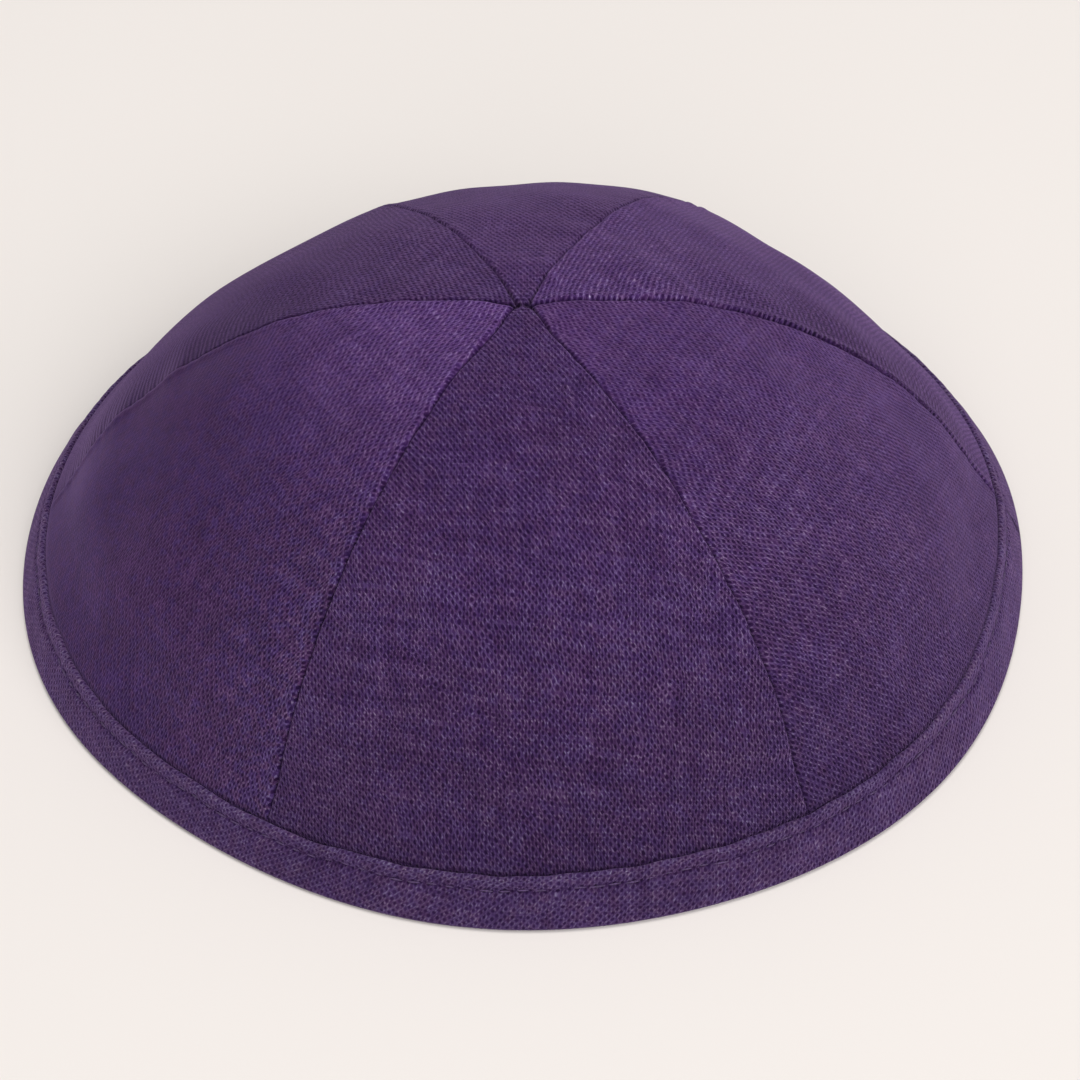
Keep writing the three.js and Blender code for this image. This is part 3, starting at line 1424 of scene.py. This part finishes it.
@dataclass
class Crown:
    """The six gores, sewn edge to edge.

    Lengths are in millimetres, but merge is in metres. A Span is where a change starts and where it ends, as
    a length or as a share of the way down or across a gore.
    """

    form: CapForm
    move: Array
    columns: int = 80
    rows: int = 220
    row_power: float = 1.05
    column_power: float = 0.75
    full_power_width: float = 30.0
    wall: float = 1.2
    thinnest: float = 0.3
    slot_floor: float = 3.3
    seam_gap: float = 0.02
    seam_allowance: float = 6.0
    least_width: float = 1e-6
    least_radius: float = 1e-3
    merge: float = 5e-8
    sharp_angle: float = 60.0
    cuts_apart: tuple[float, float, float] = (3.1, 5.3, 17.0)

    # The seams
    valley_depth: float = 0.60
    valley_width: float = 0.22
    valley_power: float = 1.6
    roll_middle: float = 1.0
    roll_width: float = 0.8
    sunk_reach: float = 1.6
    short_pucker_reach: float = 2.0
    long_pucker_reach: float = 5.0
    seam_start: Span = (0.5, 6.0)
    mark_fade: Span = (0.33, 0.62)
    tip_mark: float = 1.45
    tip_mark_reach: float = 9.0

    # The pit at the top, the soft dents, and the swell over the binding
    pit_depth: float = 0.95
    pit_reach: float = 0.85
    tucked: float = 0.45
    swell: float = 0.32
    swell_start: Span = (-0.5, 1.1)
    swell_reach: float = 10.0
    seam_end: float = 2.5
    soft_start: Span = (2.0, 14.0)
    soft_end: float = 10.0
    unevenness: Ripple = Ripple(seed=11, shortest=13.0, longest=38.0, height=0.16)

    # What the finish is told
    edge_drawn_in: float = 0.45
    band_edge_reach: float = 1.1
    band_edge_start: float = 0.02
    band_edge_share: float = 0.30
    pit_edge_share: float = 0.28
    # Painted light and shade of the gores, and painted shade in the pit at the top and along the binding's
    # upper edge
    painted_light_places: tuple[float, float, float] = (0.1, 0.5, 0.9)
    pit_shade: float = 0.85
    band_shade: float = 0.13
    band_shade_reach: float = 2.2
    mark_turn: Span = (0.3, 0.7)
    band_shade_mark: float = 0.5
    pit_shade_mark: float = 2.2
    pit_shade_mark_reach: float = 1.4
    open_power: float = 1.7
    open_change: Span = (0.20, 0.60)
    lean_change: Span = (0.36, 0.62)
    mottle_change: Span = (0.25, 0.75)
    rib_reach: float = 13.0
    rib_start: Span = (28.0, 55.0)
    rib_end: float = 12.0

    def grid(self, panel: int, mesh: bpy.types.Mesh) -> GoreGrid:
        """Spreads a unit sheet over a gore, closest beside its seams.

        Args:
            panel: the gore's number.
            mesh: the unit sheet.

        Returns:
            Where each vertex lies.
        """
        form = self.form
        across, down, inner = sheet_places(mesh)
        clockwise = across < 0.5
        s = (1.0 - self.slot_floor / form.crown_arc) * down**self.row_power
        along = s * form.crown_arc
        width = form.panel_width(panel, s)
        power = 1.0 + self.column_power * np.clip(width / self.full_power_width, 0.0, 1.0)
        share = 0.5 * (1.0 - np.abs(2.0 * across - 1.0)) ** power
        gap = np.minimum(self.seam_gap / np.maximum(width, self.least_width), 0.5)
        share = np.maximum(share, gap)
        u = np.where(clockwise, share, 1.0 - share)
        distance = share * width
        above = form.above_band(panel, u, s)
        from_pit = np.hypot(along, distance)
        return GoreGrid(panel, u, s, along, width, distance, above, from_pit, clockwise, inner)

    def seam_mark(self, seam: int, along: Array) -> Array:
        """How strongly a seam shows, which all of them do at the top, where they are drawn in.

        Args:
            seam: the seam's number.
            along: distance down the seam from the top point.

        Returns:
            The strength there.
        """
        fade = smooth_step(along / self.form.crown_arc, *self.mark_fade)
        mark = GORES[seam].seam_mark * (1.0 - (1.0 - GORES[seam].mark_left) * fade)
        return between(mark, self.tip_mark, hump(along, 0.0, self.tip_mark_reach))

    def seam_relief(self, seam: int, lift: float, distance: Array, along: Array) -> Array:
        """How far the outer face stands out beside a seam.

        Args:
            seam: the seam's number.
            lift: how far the cloth rolls up on this side.
            distance: from the seam, in millimetres.
            along: distance down the seam from the top point.

        Returns:
            The height, negative in the valley.
        """
        valley = -self.valley_depth * self.seam_mark(seam, along)
        valley = valley * np.exp(-((distance / self.valley_width) ** self.valley_power))
        if lift > 0.0:
            rolled = lift * hump(distance, self.roll_middle, self.roll_width)
        else:
            rolled = lift * np.exp(-distance / self.sunk_reach)
        short = Ripple(seed=31 + seam, shortest=1.9, longest=3.1, height=0.045, count=6)
        long = Ripple(seed=51 + seam, shortest=6.0, longest=13.0, height=0.10, count=6)
        zero = np.zeros_like(along)
        puckers = short.at(along, zero) * np.exp(-distance / self.short_pucker_reach)
        puckers = puckers + long.at(along, zero) * np.exp(-distance / self.long_pucker_reach)
        return valley + (rolled + puckers) * smooth_step(along, *self.seam_start)

    def relief(self, grid: GoreGrid) -> Array:
        """How far a gore's outer face stands out.

        Args:
            grid: where its vertices lie.

        Returns:
            The height of each.
        """
        seam, beyond = grid.panel, next_panel(grid.panel)
        clockwise = self.seam_relief(seam, GORES[seam].after_lift, grid.distance, grid.along)
        counter = self.seam_relief(beyond, GORES[beyond].before_lift, grid.distance, grid.along)
        sewn = np.where(grid.clockwise, clockwise, counter)
        sewn = sewn - self.pit_depth * hump(grid.from_pit, 0.0, self.pit_reach)
        sewn = np.maximum(sewn, -self.pit_depth) * smooth_step(grid.above, 0.0, self.seam_end)
        surface = self.form.cloth(grid.panel, grid.u, grid.s, np.zeros_like(grid.s))
        soft = self.unevenness.at(surface[:, 0], surface[:, 1]) * smooth_step(grid.along, *self.soft_start)
        soft = soft * smooth_step(grid.above, 0.0, self.soft_end)
        swell = self.tucked + self.swell * smooth_step(grid.above, *self.swell_start)
        swell = swell * (1.0 - smooth_step(grid.above, 0.0, self.swell_reach))
        return np.maximum(sewn + soft + swell, self.thinnest - self.wall)

    def flat_place(self, grid: GoreGrid) -> tuple[Array, Array, float]:
        """Where a gore's vertices lie on its flat cut.

        Args:
            grid: where they lie on the cap.

        Returns:
            Both coordinates in millimetres, and the gore's own seed.
        """
        radius, _ = self.form.meridian(grid.s)
        turn_radius = np.maximum(radius, self.least_radius) / np.cos(self.form.slope(grid.s))
        turn = (grid.u - 0.5) * grid.width / turn_radius
        skew = GORES[grid.panel].cloth.skew
        x = turn_radius * np.sin(turn)
        y = grid.s * self.form.crown_arc - turn_radius * (1.0 - np.cos(turn)) - skew * x
        apart_x, apart_y, seed = (apart * grid.panel for apart in self.cuts_apart)
        return x + apart_x, y + apart_y, seed

    def from_edge(self, grid: GoreGrid) -> Array:
        """How far a gore's vertices are from the nearest sewn edge, as the finish sees it.

        Args:
            grid: where they lie.

        Returns:
            The distance of each, shortened where the top draws the cloth in.
        """
        drawn_in = 1.0 - self.edge_drawn_in * hump(grid.along, 0.0, self.tip_mark_reach)
        from_band = self.band_edge_start + np.maximum(grid.above, 0.0) * self.band_edge_share
        from_band = np.where(grid.above < self.band_edge_reach, from_band, NO_EDGE)
        edge = np.minimum(grid.distance * drawn_in, from_band)
        return np.minimum(edge, grid.from_pit * self.pit_edge_share)

    def cloth_state(self, grid: GoreGrid) -> tuple[Array, Array, Array]:
        """How the cloth of a gore looks from place to place.

        Args:
            grid: where its vertices lie.

        Returns:
            How openly it is woven, its lightness with painted light and shade, and how strongly a sewn edge
            shows in painted shade and loops.
        """
        seam, beyond = grid.panel, next_panel(grid.panel)
        look = GORES[seam].cloth
        # Painted light and shade: each gore lighter or darker from top to rim and from seam to seam, partly
        # its own lightness
        turned = look.painted_light_turn * grid.u * smooth_step(grid.s, *self.painted_light_places[:2])
        tone = np.interp(grid.s, self.painted_light_places, look.painted_light_tones) + turned
        # Painted shade in the pit at the top and just above the binding's upper edge
        tone = tone * (1.0 - self.pit_shade * hump(grid.from_pit, 0.0, 1.0))
        tone = tone * (1.0 - self.band_shade * np.exp(-np.maximum(grid.above, 0.0) / self.band_shade_reach))
        here, there = self.seam_mark(seam, grid.along), self.seam_mark(beyond, grid.along)
        mark = between(here, there, smooth_step(grid.u, *self.mark_turn))
        # Painted shade made stronger along the binding's upper edge, and strongest in the pit at the top
        mark = mark * (1.0 + self.band_shade_mark * hump(grid.above, 0.0, self.band_edge_reach))
        mark = np.where(grid.from_pit < self.pit_shade_mark_reach, self.pit_shade_mark, mark)
        open_rim = between(look.open_rim, GORES[beyond].cloth.open_rim, grid.u**self.open_power)
        open_weave = between(look.open_top, open_rim, smooth_step(grid.s, *self.open_change))
        return open_weave, tone, mark

    def weave_lean(self, grid: GoreGrid) -> tuple[Array, Array, Array]:
        """How the weave and the dye of a gore change from place to place.

        Args:
            grid: where its vertices lie.

        Returns:
            The lean of the weave, how mottled the dye is, and how strongly ribs show.
        """
        look = GORES[grid.panel].cloth
        lean = between(look.lean_top, look.lean_rim, smooth_step(grid.s, *self.lean_change))
        mottle = between(look.mottle_top, look.mottle_rim, smooth_step(grid.s, *self.mottle_change))
        ribs = np.where(grid.clockwise, look.ribs_after, look.ribs_before)
        ribs = ribs * hump(grid.distance, 0.0, self.rib_reach)
        ribs = ribs * smooth_step(grid.along, *self.rib_start) * smooth_step(grid.above, 0.0, self.rib_end)
        return lean, mottle, ribs

    def build_gore(self, panel: int, material: bpy.types.Material) -> None:
        """One gore as a closed wall of cloth.

        Args:
            panel: its number.
            material: its finish.
        """
        form, gore = self.form, GORES[panel]
        mesh = unit_sheet(self.columns, self.rows, walled=True)
        grid = self.grid(panel, mesh)
        depth = form.panel_depth(panel, grid.u, grid.s) + np.where(grid.inner, self.wall, -self.relief(grid))
        places = form.cloth(panel, grid.u, grid.s, depth) + self.move
        places[:, 0] += form.tip_offset(panel, grid.u, grid.s)
        store_numbers(mesh, WEAVE_PLACE, *self.flat_place(grid))
        store_numbers(mesh, SEWN_EDGE, self.from_edge(grid), grid.along, grid.above)
        store_numbers(mesh, CLOTH_STATE, *self.cloth_state(grid))
        store_numbers(mesh, WEAVE_LEAN, *self.weave_lean(grid))
        finish_mesh(mesh, places * MM, merge=self.merge, sharp=self.sharp_angle)
        piece = add_piece(f"gore_{gore.name.removeprefix('panel_')}", mesh, material)
        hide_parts(gore.name)
        self.declare(panel)

    def declare(self, panel: int) -> None:
        """Works out the gore's width down its length, and does nothing more with it.

        Args:
            panel: its number.
        """
        s = np.linspace(0.0, 1.0, 200)
        width = self.form.panel_width(panel, s)


@dataclass(frozen=True)
class BindingGrid:
    """Where the vertices of the binding lie.

    step counts along its section, on says which stretch of it a vertex belongs to, and share how far along
    that stretch it is. panel and u are its place round the crown, around is the way round the rim, and top
    the height of the upper edge there.
    """

    step: Array
    on: dict[Stretch, Array]
    share: Array
    panel: Array
    u: Array
    around: Array
    top: Array


@dataclass
class Binding:
    """The strip folded over the gores' lower edges, and the stitches through it.

    Lengths are in millimetres, but merge is in metres. foot_across and foot_rise give the underside's points:
    the share of the way from its outer to its inner edge, and the height as a share of the foot's.
    """

    form: CapForm
    move: Array
    around: int = 1000
    leaf: float = 1.0
    thickness: float = 3.8
    slot_floor: float = 3.0
    fold_steps: int = 8
    face_steps: int = 26
    back_steps: int = 10
    foot_across: tuple = (0.02, 0.05, 0.10, 0.17, 0.34, 0.5, 0.66, 0.83, 0.90, 0.95, 0.98)
    foot_rise: tuple = (0.62, 0.35, 0.1, 0.0, 0.0, 0.0, 0.0, 0.0, 0.1, 0.35, 0.62)
    tucked_steps: int = 2
    turned_in: float = 1.5
    hidden_path: float = -15.2
    merge: float = 1e-7
    sharp_angle: float = 70.0
    strip_width: float = 24.0
    strip_length: float = 565.0
    weave_seed: float = 131.0
    weave_lean: float = 0.16
    mottle: float = 0.62
    ring_steps: int = 3000
    ring_share: float = 0.95

    # The relief of its outer face
    roll_height: float = 0.16
    roll_middle: float = 1.0
    roll_width: float = 0.9
    groove_depth: float = 0.26
    groove_width: float = 0.5
    dent_depth: float = 0.22
    dent_reach: float = 0.55
    pull_depth: float = 0.05
    pull_reach: float = 0.6
    pull_middle: float = 1.2
    pull_width: float = 1.4
    unevenness: Ripple = Ripple(seed=71, shortest=5.0, longest=16.0, height=0.07)
    edge_wander: float = 1.6
    plain_above_foot: float = 2.0
    panel_span: float = 92.0
    seam_bulge: float = 0.12
    seam_bulge_reach: float = 4.0
    seam_bulge_start: Span = (1.0, 4.0)

    # The stitches
    stitch_pitch: float = 3.0
    stitch_length: float = 2.2
    stitch_radius: float = 0.14
    stitch_rise: float = -0.08
    stitch_sink: float = 0.12
    stitch_lengths: Span = (0.6, 1.3)
    stitch_lean: float = 0.06
    stitch_seed: int = 91
    stitch_rows_apart: float = 7.0
    stitch_unevenness: Ripple = Ripple(seed=83, shortest=9.0, longest=40.0, height=0.12)

    def ring(self, count: int) -> tuple[Array, Array, Array]:
        """Evenly spaced lines round the rim.

        Args:
            count: how many.

        Returns:
            Each line's panel, its share across the panel and its distance round the rim.
        """
        fine = np.linspace(0.0, len(GORES), self.ring_steps + 1)
        panel = np.minimum(fine.astype(int), len(GORES) - 1)
        share = np.full_like(fine, self.ring_share)
        rim = self.form.cloth(panel, fine - panel, share, np.zeros_like(fine))
        lengths = np.linalg.norm(np.diff(rim, axis=0), axis=1)
        arc = np.concatenate([[0.0], np.cumsum(lengths)])
        wanted = np.arange(count) / count * arc[-1]
        turn = np.interp(wanted, arc, fine)
        panel = np.minimum(turn.astype(int), len(GORES) - 1)
        return panel, turn - panel, wanted

    def rim_length(self) -> float:
        """The way round the rim along the cloth.

        Returns:
            Its length.
        """
        lines = 2000
        _, _, arc = self.ring(lines)
        return float(arc[-1] * lines / (lines - 1))

    def stitch_count(self) -> int:
        """The number of stitches in one row."""
        return round(self.rim_length() / self.stitch_pitch)

    def wander(self, around: Array) -> Array:
        """How far the upper edge strays from its even height."""
        return self.unevenness.at(around, np.zeros_like(around)) * self.edge_wander

    def low_ends(self) -> tuple[float, float]:
        """Where the strip's faces end above the foot.

        Returns:
            The heights up the cloth of the outer and the inner face's lower end.
        """
        slope = math.radians(self.form.edge_slope)
        outer = self.form.band_foot_height / math.sin(slope)
        inner = (self.form.band_foot_height + self.thickness * math.cos(slope)) / math.sin(slope)
        return outer, inner

    def stretches(self) -> dict[Stretch, Array]:
        """The points of the section.

        Returns:
            For each stretch, how far along it each of its points is.
        """
        fold = np.linspace(0.0, 1.0, self.fold_steps)
        return {
            Stretch.OUTER_FOLD: fold,
            Stretch.FACE: np.linspace(0.0, 1.0, self.face_steps + 1)[1:],
            Stretch.FOOT: np.array(self.foot_across),
            Stretch.BACK: np.linspace(0.0, 1.0, self.back_steps),
            Stretch.INNER_FOLD: fold,
            Stretch.SLOT: np.array([0.0, 1.0]),
        }

    def grid(self, mesh: bpy.types.Mesh, stretches: dict[Stretch, Array]) -> BindingGrid:
        """Wraps a unit sheet round the rim, with its rows round the section.

        Args:
            mesh: the unit sheet.
            stretches: the points of the section.

        Returns:
            Where each vertex lies.
        """
        shares = np.concatenate(list(stretches.values()))
        turned, wrapped, _ = sheet_places(mesh)
        line = np.rint(turned * self.around).astype(int) % self.around
        step = np.rint(wrapped * len(shares)).astype(int) % len(shares)
        counts = [len(points) for points in stretches.values()]
        stretch = np.repeat(np.arange(len(counts)), counts)[step]
        on = {name: stretch == number for number, name in enumerate(stretches)}
        panel, u, around = (values[line] for values in self.ring(self.around))
        top = self.form.band_height_at(panel, u) + self.wander(around)
        return BindingGrid(step, on, shares[step], panel, u, around, top)

    def section(self, grid: BindingGrid) -> tuple[Array, Array, Array]:
        """The closed section: over the outer fold, down the face, across the foot, up the back and inside.

        Args:
            grid: where the vertices lie.

        Returns:
            Their height up the cloth, their depth, and their place along the strip's own width.
        """
        on, share, top = grid.on, grid.share, grid.top
        half = self.leaf / 2.0
        low_outer, low_inner = self.low_ends()
        order = [on[stretch] for stretch in Stretch]
        outer_turn = np.pi * (1.0 - share)
        inner_turn = np.pi * share
        face_up = (top - half) + (low_outer - top + half) * share
        back_up = low_inner + (top - half - low_inner) * share
        up = np.select(
            order,
            [
                top - half + half * np.sin(outer_turn),
                face_up,
                0.0,
                back_up,
                top - half + half * np.sin(inner_turn),
                self.slot_floor,
            ],
        )
        depth = np.select(
            order,
            [
                half - half * np.cos(outer_turn),
                0.0,
                0.0,
                self.thickness,
                self.thickness - half + half * np.cos(inner_turn),
                np.where(share < 0.5, self.thickness - self.leaf, self.leaf),
            ],
        )
        path = np.select(
            order,
            [
                top + self.turned_in - half * (np.pi - outer_turn),
                face_up,
                -self.thickness * share,
                -self.thickness - back_up,
                -self.thickness - top - half * inner_turn,
                self.hidden_path,
            ],
        )
        return up, depth, path

    def face_relief(self, grid: BindingGrid, up: Array) -> Array:
        """How far the outer face stands out.

        Args:
            grid: where the vertices lie.
            up: their height up the cloth.

        Returns:
            The height over the plain face.
        """
        drop = grid.top - up
        pitch = self.rim_length() / self.stitch_count()
        rolled = self.roll_height * hump(drop, self.roll_middle, self.roll_width)
        groove = -self.groove_depth * hump(drop, STITCH_DROP, self.groove_width)
        phase = (grid.around / pitch) % 1.0
        hole = np.minimum(phase, 1.0 - phase) * pitch
        dent = np.exp(-(hole**2 + (drop - STITCH_DROP) ** 2) / self.dent_reach**2)
        pull = -self.pull_depth * hump(hole, 0.0, self.pull_reach)
        pull = pull * hump(drop, self.pull_middle, self.pull_width)
        relief = rolled + groove - self.dent_depth * dent + pull
        relief = relief + self.unevenness.at(grid.around, drop) * smooth_step(drop, 0.0, 2.0)
        low_outer, _ = self.low_ends()
        relief = relief * smooth_step(up, low_outer, low_outer + self.plain_above_foot)
        over_seam = np.minimum(grid.u, 1.0 - grid.u) * self.panel_span
        bulge = self.seam_bulge * hump(over_seam, 0.0, self.seam_bulge_reach)
        return relief + bulge * smooth_step(up, *self.seam_bulge_start)

    def foot(self, grid: BindingGrid) -> Array:
        """The flat underside that the cap stands on, with rounded edges.

        Args:
            grid: where the vertices lie.

        Returns:
            One row of x, y, z for each, which holds for those on the foot.
        """
        low_outer, low_inner = (1.0 - low / self.form.crown_arc for low in self.low_ends())
        plain = np.zeros_like(grid.top)
        outer = self.form.cloth(grid.panel, grid.u, plain + low_outer, plain)
        inner = self.form.cloth(grid.panel, grid.u, plain + low_inner, plain + self.thickness)
        across = grid.share[:, None]
        foot = outer * (1.0 - across) + inner * across
        foot[:, 2] = np.interp(grid.share, self.foot_across, self.foot_rise) * self.form.band_foot_height
        return foot

    def build(self, material: bpy.types.Material) -> None:
        """The folded strip as one closed ring.

        Args:
            material: its finish.
        """
        stretches = self.stretches()
        section_steps = sum(len(points) for points in stretches.values())
        mesh = unit_sheet(self.around, section_steps, walled=False)
        grid = self.grid(mesh, stretches)
        up, depth, path = self.section(grid)
        outside = (grid.on[Stretch.OUTER_FOLD] | grid.on[Stretch.FACE]) & (grid.step >= self.tucked_steps)
        depth = np.where(outside, depth - self.face_relief(grid, up), depth)
        places = self.form.cloth(grid.panel, grid.u, 1.0 - up / self.form.crown_arc, depth)
        places = np.where(grid.on[Stretch.FOOT][:, None], self.foot(grid), places) + self.move
        edge = np.where(grid.on[Stretch.SLOT], 0.0, NO_EDGE)
        store_numbers(mesh, WEAVE_PLACE, grid.around, path, self.weave_seed)
        store_numbers(mesh, SEWN_EDGE, edge, grid.around, grid.top - up)
        store_numbers(mesh, CLOTH_STATE, 1.0, 1.0, 1.0)
        store_numbers(mesh, WEAVE_LEAN, self.weave_lean, self.mottle, 0.0)
        finish_mesh(mesh, places * MM, merge=self.merge, sharp=self.sharp_angle)
        piece = add_piece("rim_binding", mesh, material)
        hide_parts("rim_band")

    def add_stitch(
        self, whole: bmesh.types.BMesh, middle: Array, along: Array, rng: np.random.Generator
    ) -> None:
        """Adds one stitch, with its own length and lean.

        Args:
            whole: the stitches made so far.
            middle: its middle.
            along: the direction it runs in.
            rng: where its chances come from.
        """
        length = self.stitch_length * rng.uniform(*self.stitch_lengths)
        lean = Vector((0.0, 0.0, rng.normal(0.0, self.stitch_lean)))
        turn = (Vector(along) + lean).to_track_quat("X", "Z").to_matrix().to_4x4()
        size = Matrix.Diagonal((length / 2.0, self.stitch_radius, self.stitch_radius, 1.0))
        place = Matrix.Translation(middle * MM) @ turn @ size
        single = bmesh.new()
        bmesh.ops.create_uvsphere(single, u_segments=8, v_segments=8, radius=MM)
        bmesh.ops.transform(single, matrix=place, verts=single.verts[:])
        stitch = end_shape(single, "stitch")
        whole.from_mesh(stitch)
        bpy.data.meshes.remove(stitch)

    def build_stitches(self, material: bpy.types.Material) -> None:
        """The stitches through the strip, as one row outside and one inside.

        Args:
            material: the thread's finish.
        """
        form = self.form
        rng = np.random.default_rng(self.stitch_seed)
        count = self.stitch_count()
        panel, u, around = self.ring(count)
        top = form.band_height_at(panel, u) + self.wander(around)
        whole = bmesh.new()
        for outside in (True, False):
            row = np.full_like(around, self.stitch_rows_apart * outside)
            drop = STITCH_DROP + self.stitch_unevenness.at(around, row)
            s = 1.0 - (top - drop) / form.crown_arc
            lift = self.stitch_rise - self.stitch_radius - rng.uniform(0.0, self.stitch_sink, count)
            depth = -lift if outside else self.thickness + lift
            middles = form.cloth(panel, u, s, depth) + self.move
            ahead = np.roll(middles, -1, axis=0) - np.roll(middles, 1, axis=0)
            ahead = ahead / np.linalg.norm(ahead, axis=1, keepdims=True)
            for middle, along in zip(middles, ahead):
                self.add_stitch(whole, middle, along, rng)
        for face in whole.faces:
            face.smooth = True
        add_piece("binding_stitches", end_shape(whole, "stitches"), material)


# The studio

@dataclass(frozen=True)
class Camera:
    """The camera, as far off and as high as the photograph's."""

    elevation: float = 43.37
    distance: float = 600.09
    roll: float = -0.0175
    lens: float = 110.55
    sensor_width: float = 36.0
    shift_x: float = 0.01037
    shift_y: float = 0.01004
    nearest: float = 0.01
    farthest: float = 50.0

    def build(self, move: Array) -> None:
        """Makes the camera and sets it as the scene's.

        Args:
            move: the form's place in the row frame, in millimetres.
        """
        tilt = math.radians(self.elevation)
        back = Vector((0.0, -math.cos(tilt), math.sin(tilt)))
        right = Vector((1.0, 0.0, 0.0))
        up = Vector((0.0, math.sin(tilt), math.cos(tilt)))
        side = right * math.cos(self.roll) + up * math.sin(self.roll)
        head = up * math.cos(self.roll) - right * math.sin(self.roll)
        data = bpy.data.cameras.new("camera")
        data.lens = self.lens
        data.sensor_width = self.sensor_width
        data.shift_x = self.shift_x
        data.shift_y = self.shift_y
        data.clip_start = self.nearest
        data.clip_end = self.farthest
        camera = add_object("camera", data)
        turn = Matrix((side, head, back)).transposed().to_4x4()
        place = Vector(move * MM) + back * self.distance * MM
        camera.matrix_world = Matrix.Translation(place) @ turn
        bpy.context.scene.camera = camera


@dataclass(frozen=True)
class SoftLight:
    """A large soft lamp that faces the cap."""

    name: str
    azimuth: float
    elevation: float
    power: float
    distance: float = 2.4
    size: float = 1.6
    color: Color = (1.0, 0.98, 0.96)

    def build(self) -> None:
        """Makes the lamp, with its distance and size in metres."""
        turn, tilt = math.radians(self.azimuth), math.radians(self.elevation)
        away = Vector((math.cos(tilt) * math.cos(turn), math.cos(tilt) * math.sin(turn), math.sin(tilt)))
        data = bpy.data.lights.new(self.name, "AREA")
        data.shape = "DISK"
        data.size = self.size
        data.energy = self.power
        data.color = self.color
        lamp = add_object(self.name, data)
        lamp.location = away * self.distance
        lamp.rotation_euler = away.to_track_quat("Z", "Y").to_euler()


@dataclass(frozen=True)
class Studio:
    """A plain pale floor, an even sky and soft lamps."""

    floor_color: Color = (0.80, 0.765, 0.742)
    floor_size: float = 8.0
    sky_color: Color = (1.0, 0.985, 0.97)
    sky_strength: float = 0.43
    lamps: tuple[SoftLight, ...] = (
        SoftLight("lamp_over", azimuth=90.0, elevation=85.0, power=23.4),
        SoftLight("lamp_front", azimuth=-90.0, elevation=30.0, power=15.5),
        SoftLight("lamp_front_right", azimuth=-45.0, elevation=40.0, power=21.7),
    )

    def build(self) -> None:
        """Makes the floor, the sky and the lamps."""
        shape = bmesh.new()
        bmesh.ops.create_grid(shape, x_segments=1, y_segments=1, size=self.floor_size)
        mesh = end_shape(shape, "floor")
        mesh.materials.append(PlainFinish("floor_paper", self.floor_color).build())
        floor = add_object("floor", mesh)

        world = bpy.data.worlds.new("sky")
        world.use_nodes = True
        bpy.context.scene.world = world
        background = next(n for n in world.node_tree.nodes if n.type == "BACKGROUND")
        background.inputs["Color"].default_value = (*self.sky_color, 1.0)
        background.inputs["Strength"].default_value = self.sky_strength
        for lamp in self.lamps:
            lamp.build()
        bpy.context.scene.view_settings.view_transform = "Standard"


PANEL_FINISH = LinenFinish(
    name="panel_linen",
    blue=(0.0337, 0.0133, 0.0750),
    red=(0.0401, 0.0138, 0.0633),
    warp_pitch=0.556,
    weft_pitch=0.78,
    diagonals=0.52,
    warp_gaps=0.68,
    weft_gaps=0.42,
    slant=0.0,
    depth_tint=(0.80, 1.13, 0.66),
    loop_pitch=0.95,
    loops=0.50,
    fold_highlight=0.0,
    stitch_groove_shade=0.0,
)

BAND_FINISH = LinenFinish(
    name="band_linen",
    blue=(0.0354, 0.0164, 0.0732),
    red=(0.0419, 0.0171, 0.0619),
    warp_pitch=0.62,
    weft_pitch=0.60,
    diagonals=0.38,
    warp_gaps=0.40,
    weft_gaps=0.24,
    slant=8.0,
    depth_tint=(0.73, 1.02, 0.60),
    loop_pitch=3.0,
    loops=0.0,
    fold_highlight=0.42,
    stitch_groove_shade=-0.75,
)

SEWING_THREAD = ThreadFinish(name="sewing_thread", color=(0.072, 0.036, 0.118), sheen=0.2)


def main() -> None:
    """Builds the cap and the studio in order."""
    logging.basicConfig(level=logging.INFO, format="%(name)s: %(message)s")
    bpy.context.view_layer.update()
    form = CapForm()
    move = form.to_row_frame()
    LOG.info("form moved by %s mm", np.round(move, 4))
    weave, dye = PlainWeave().build(), UnevenDye().build()
    panel_linen = PANEL_FINISH.build(weave, dye)
    band_linen = BAND_FINISH.build(weave, dye)
    crown = Crown(form, move)
    for panel in range(len(GORES)):
        crown.build_gore(panel, panel_linen)
    binding = Binding(form, move)
    binding.build(band_linen)
    binding.build_stitches(SEWING_THREAD.build())
    Studio().build()
    Camera().build(move)


if __name__ == "__main__":
    main()
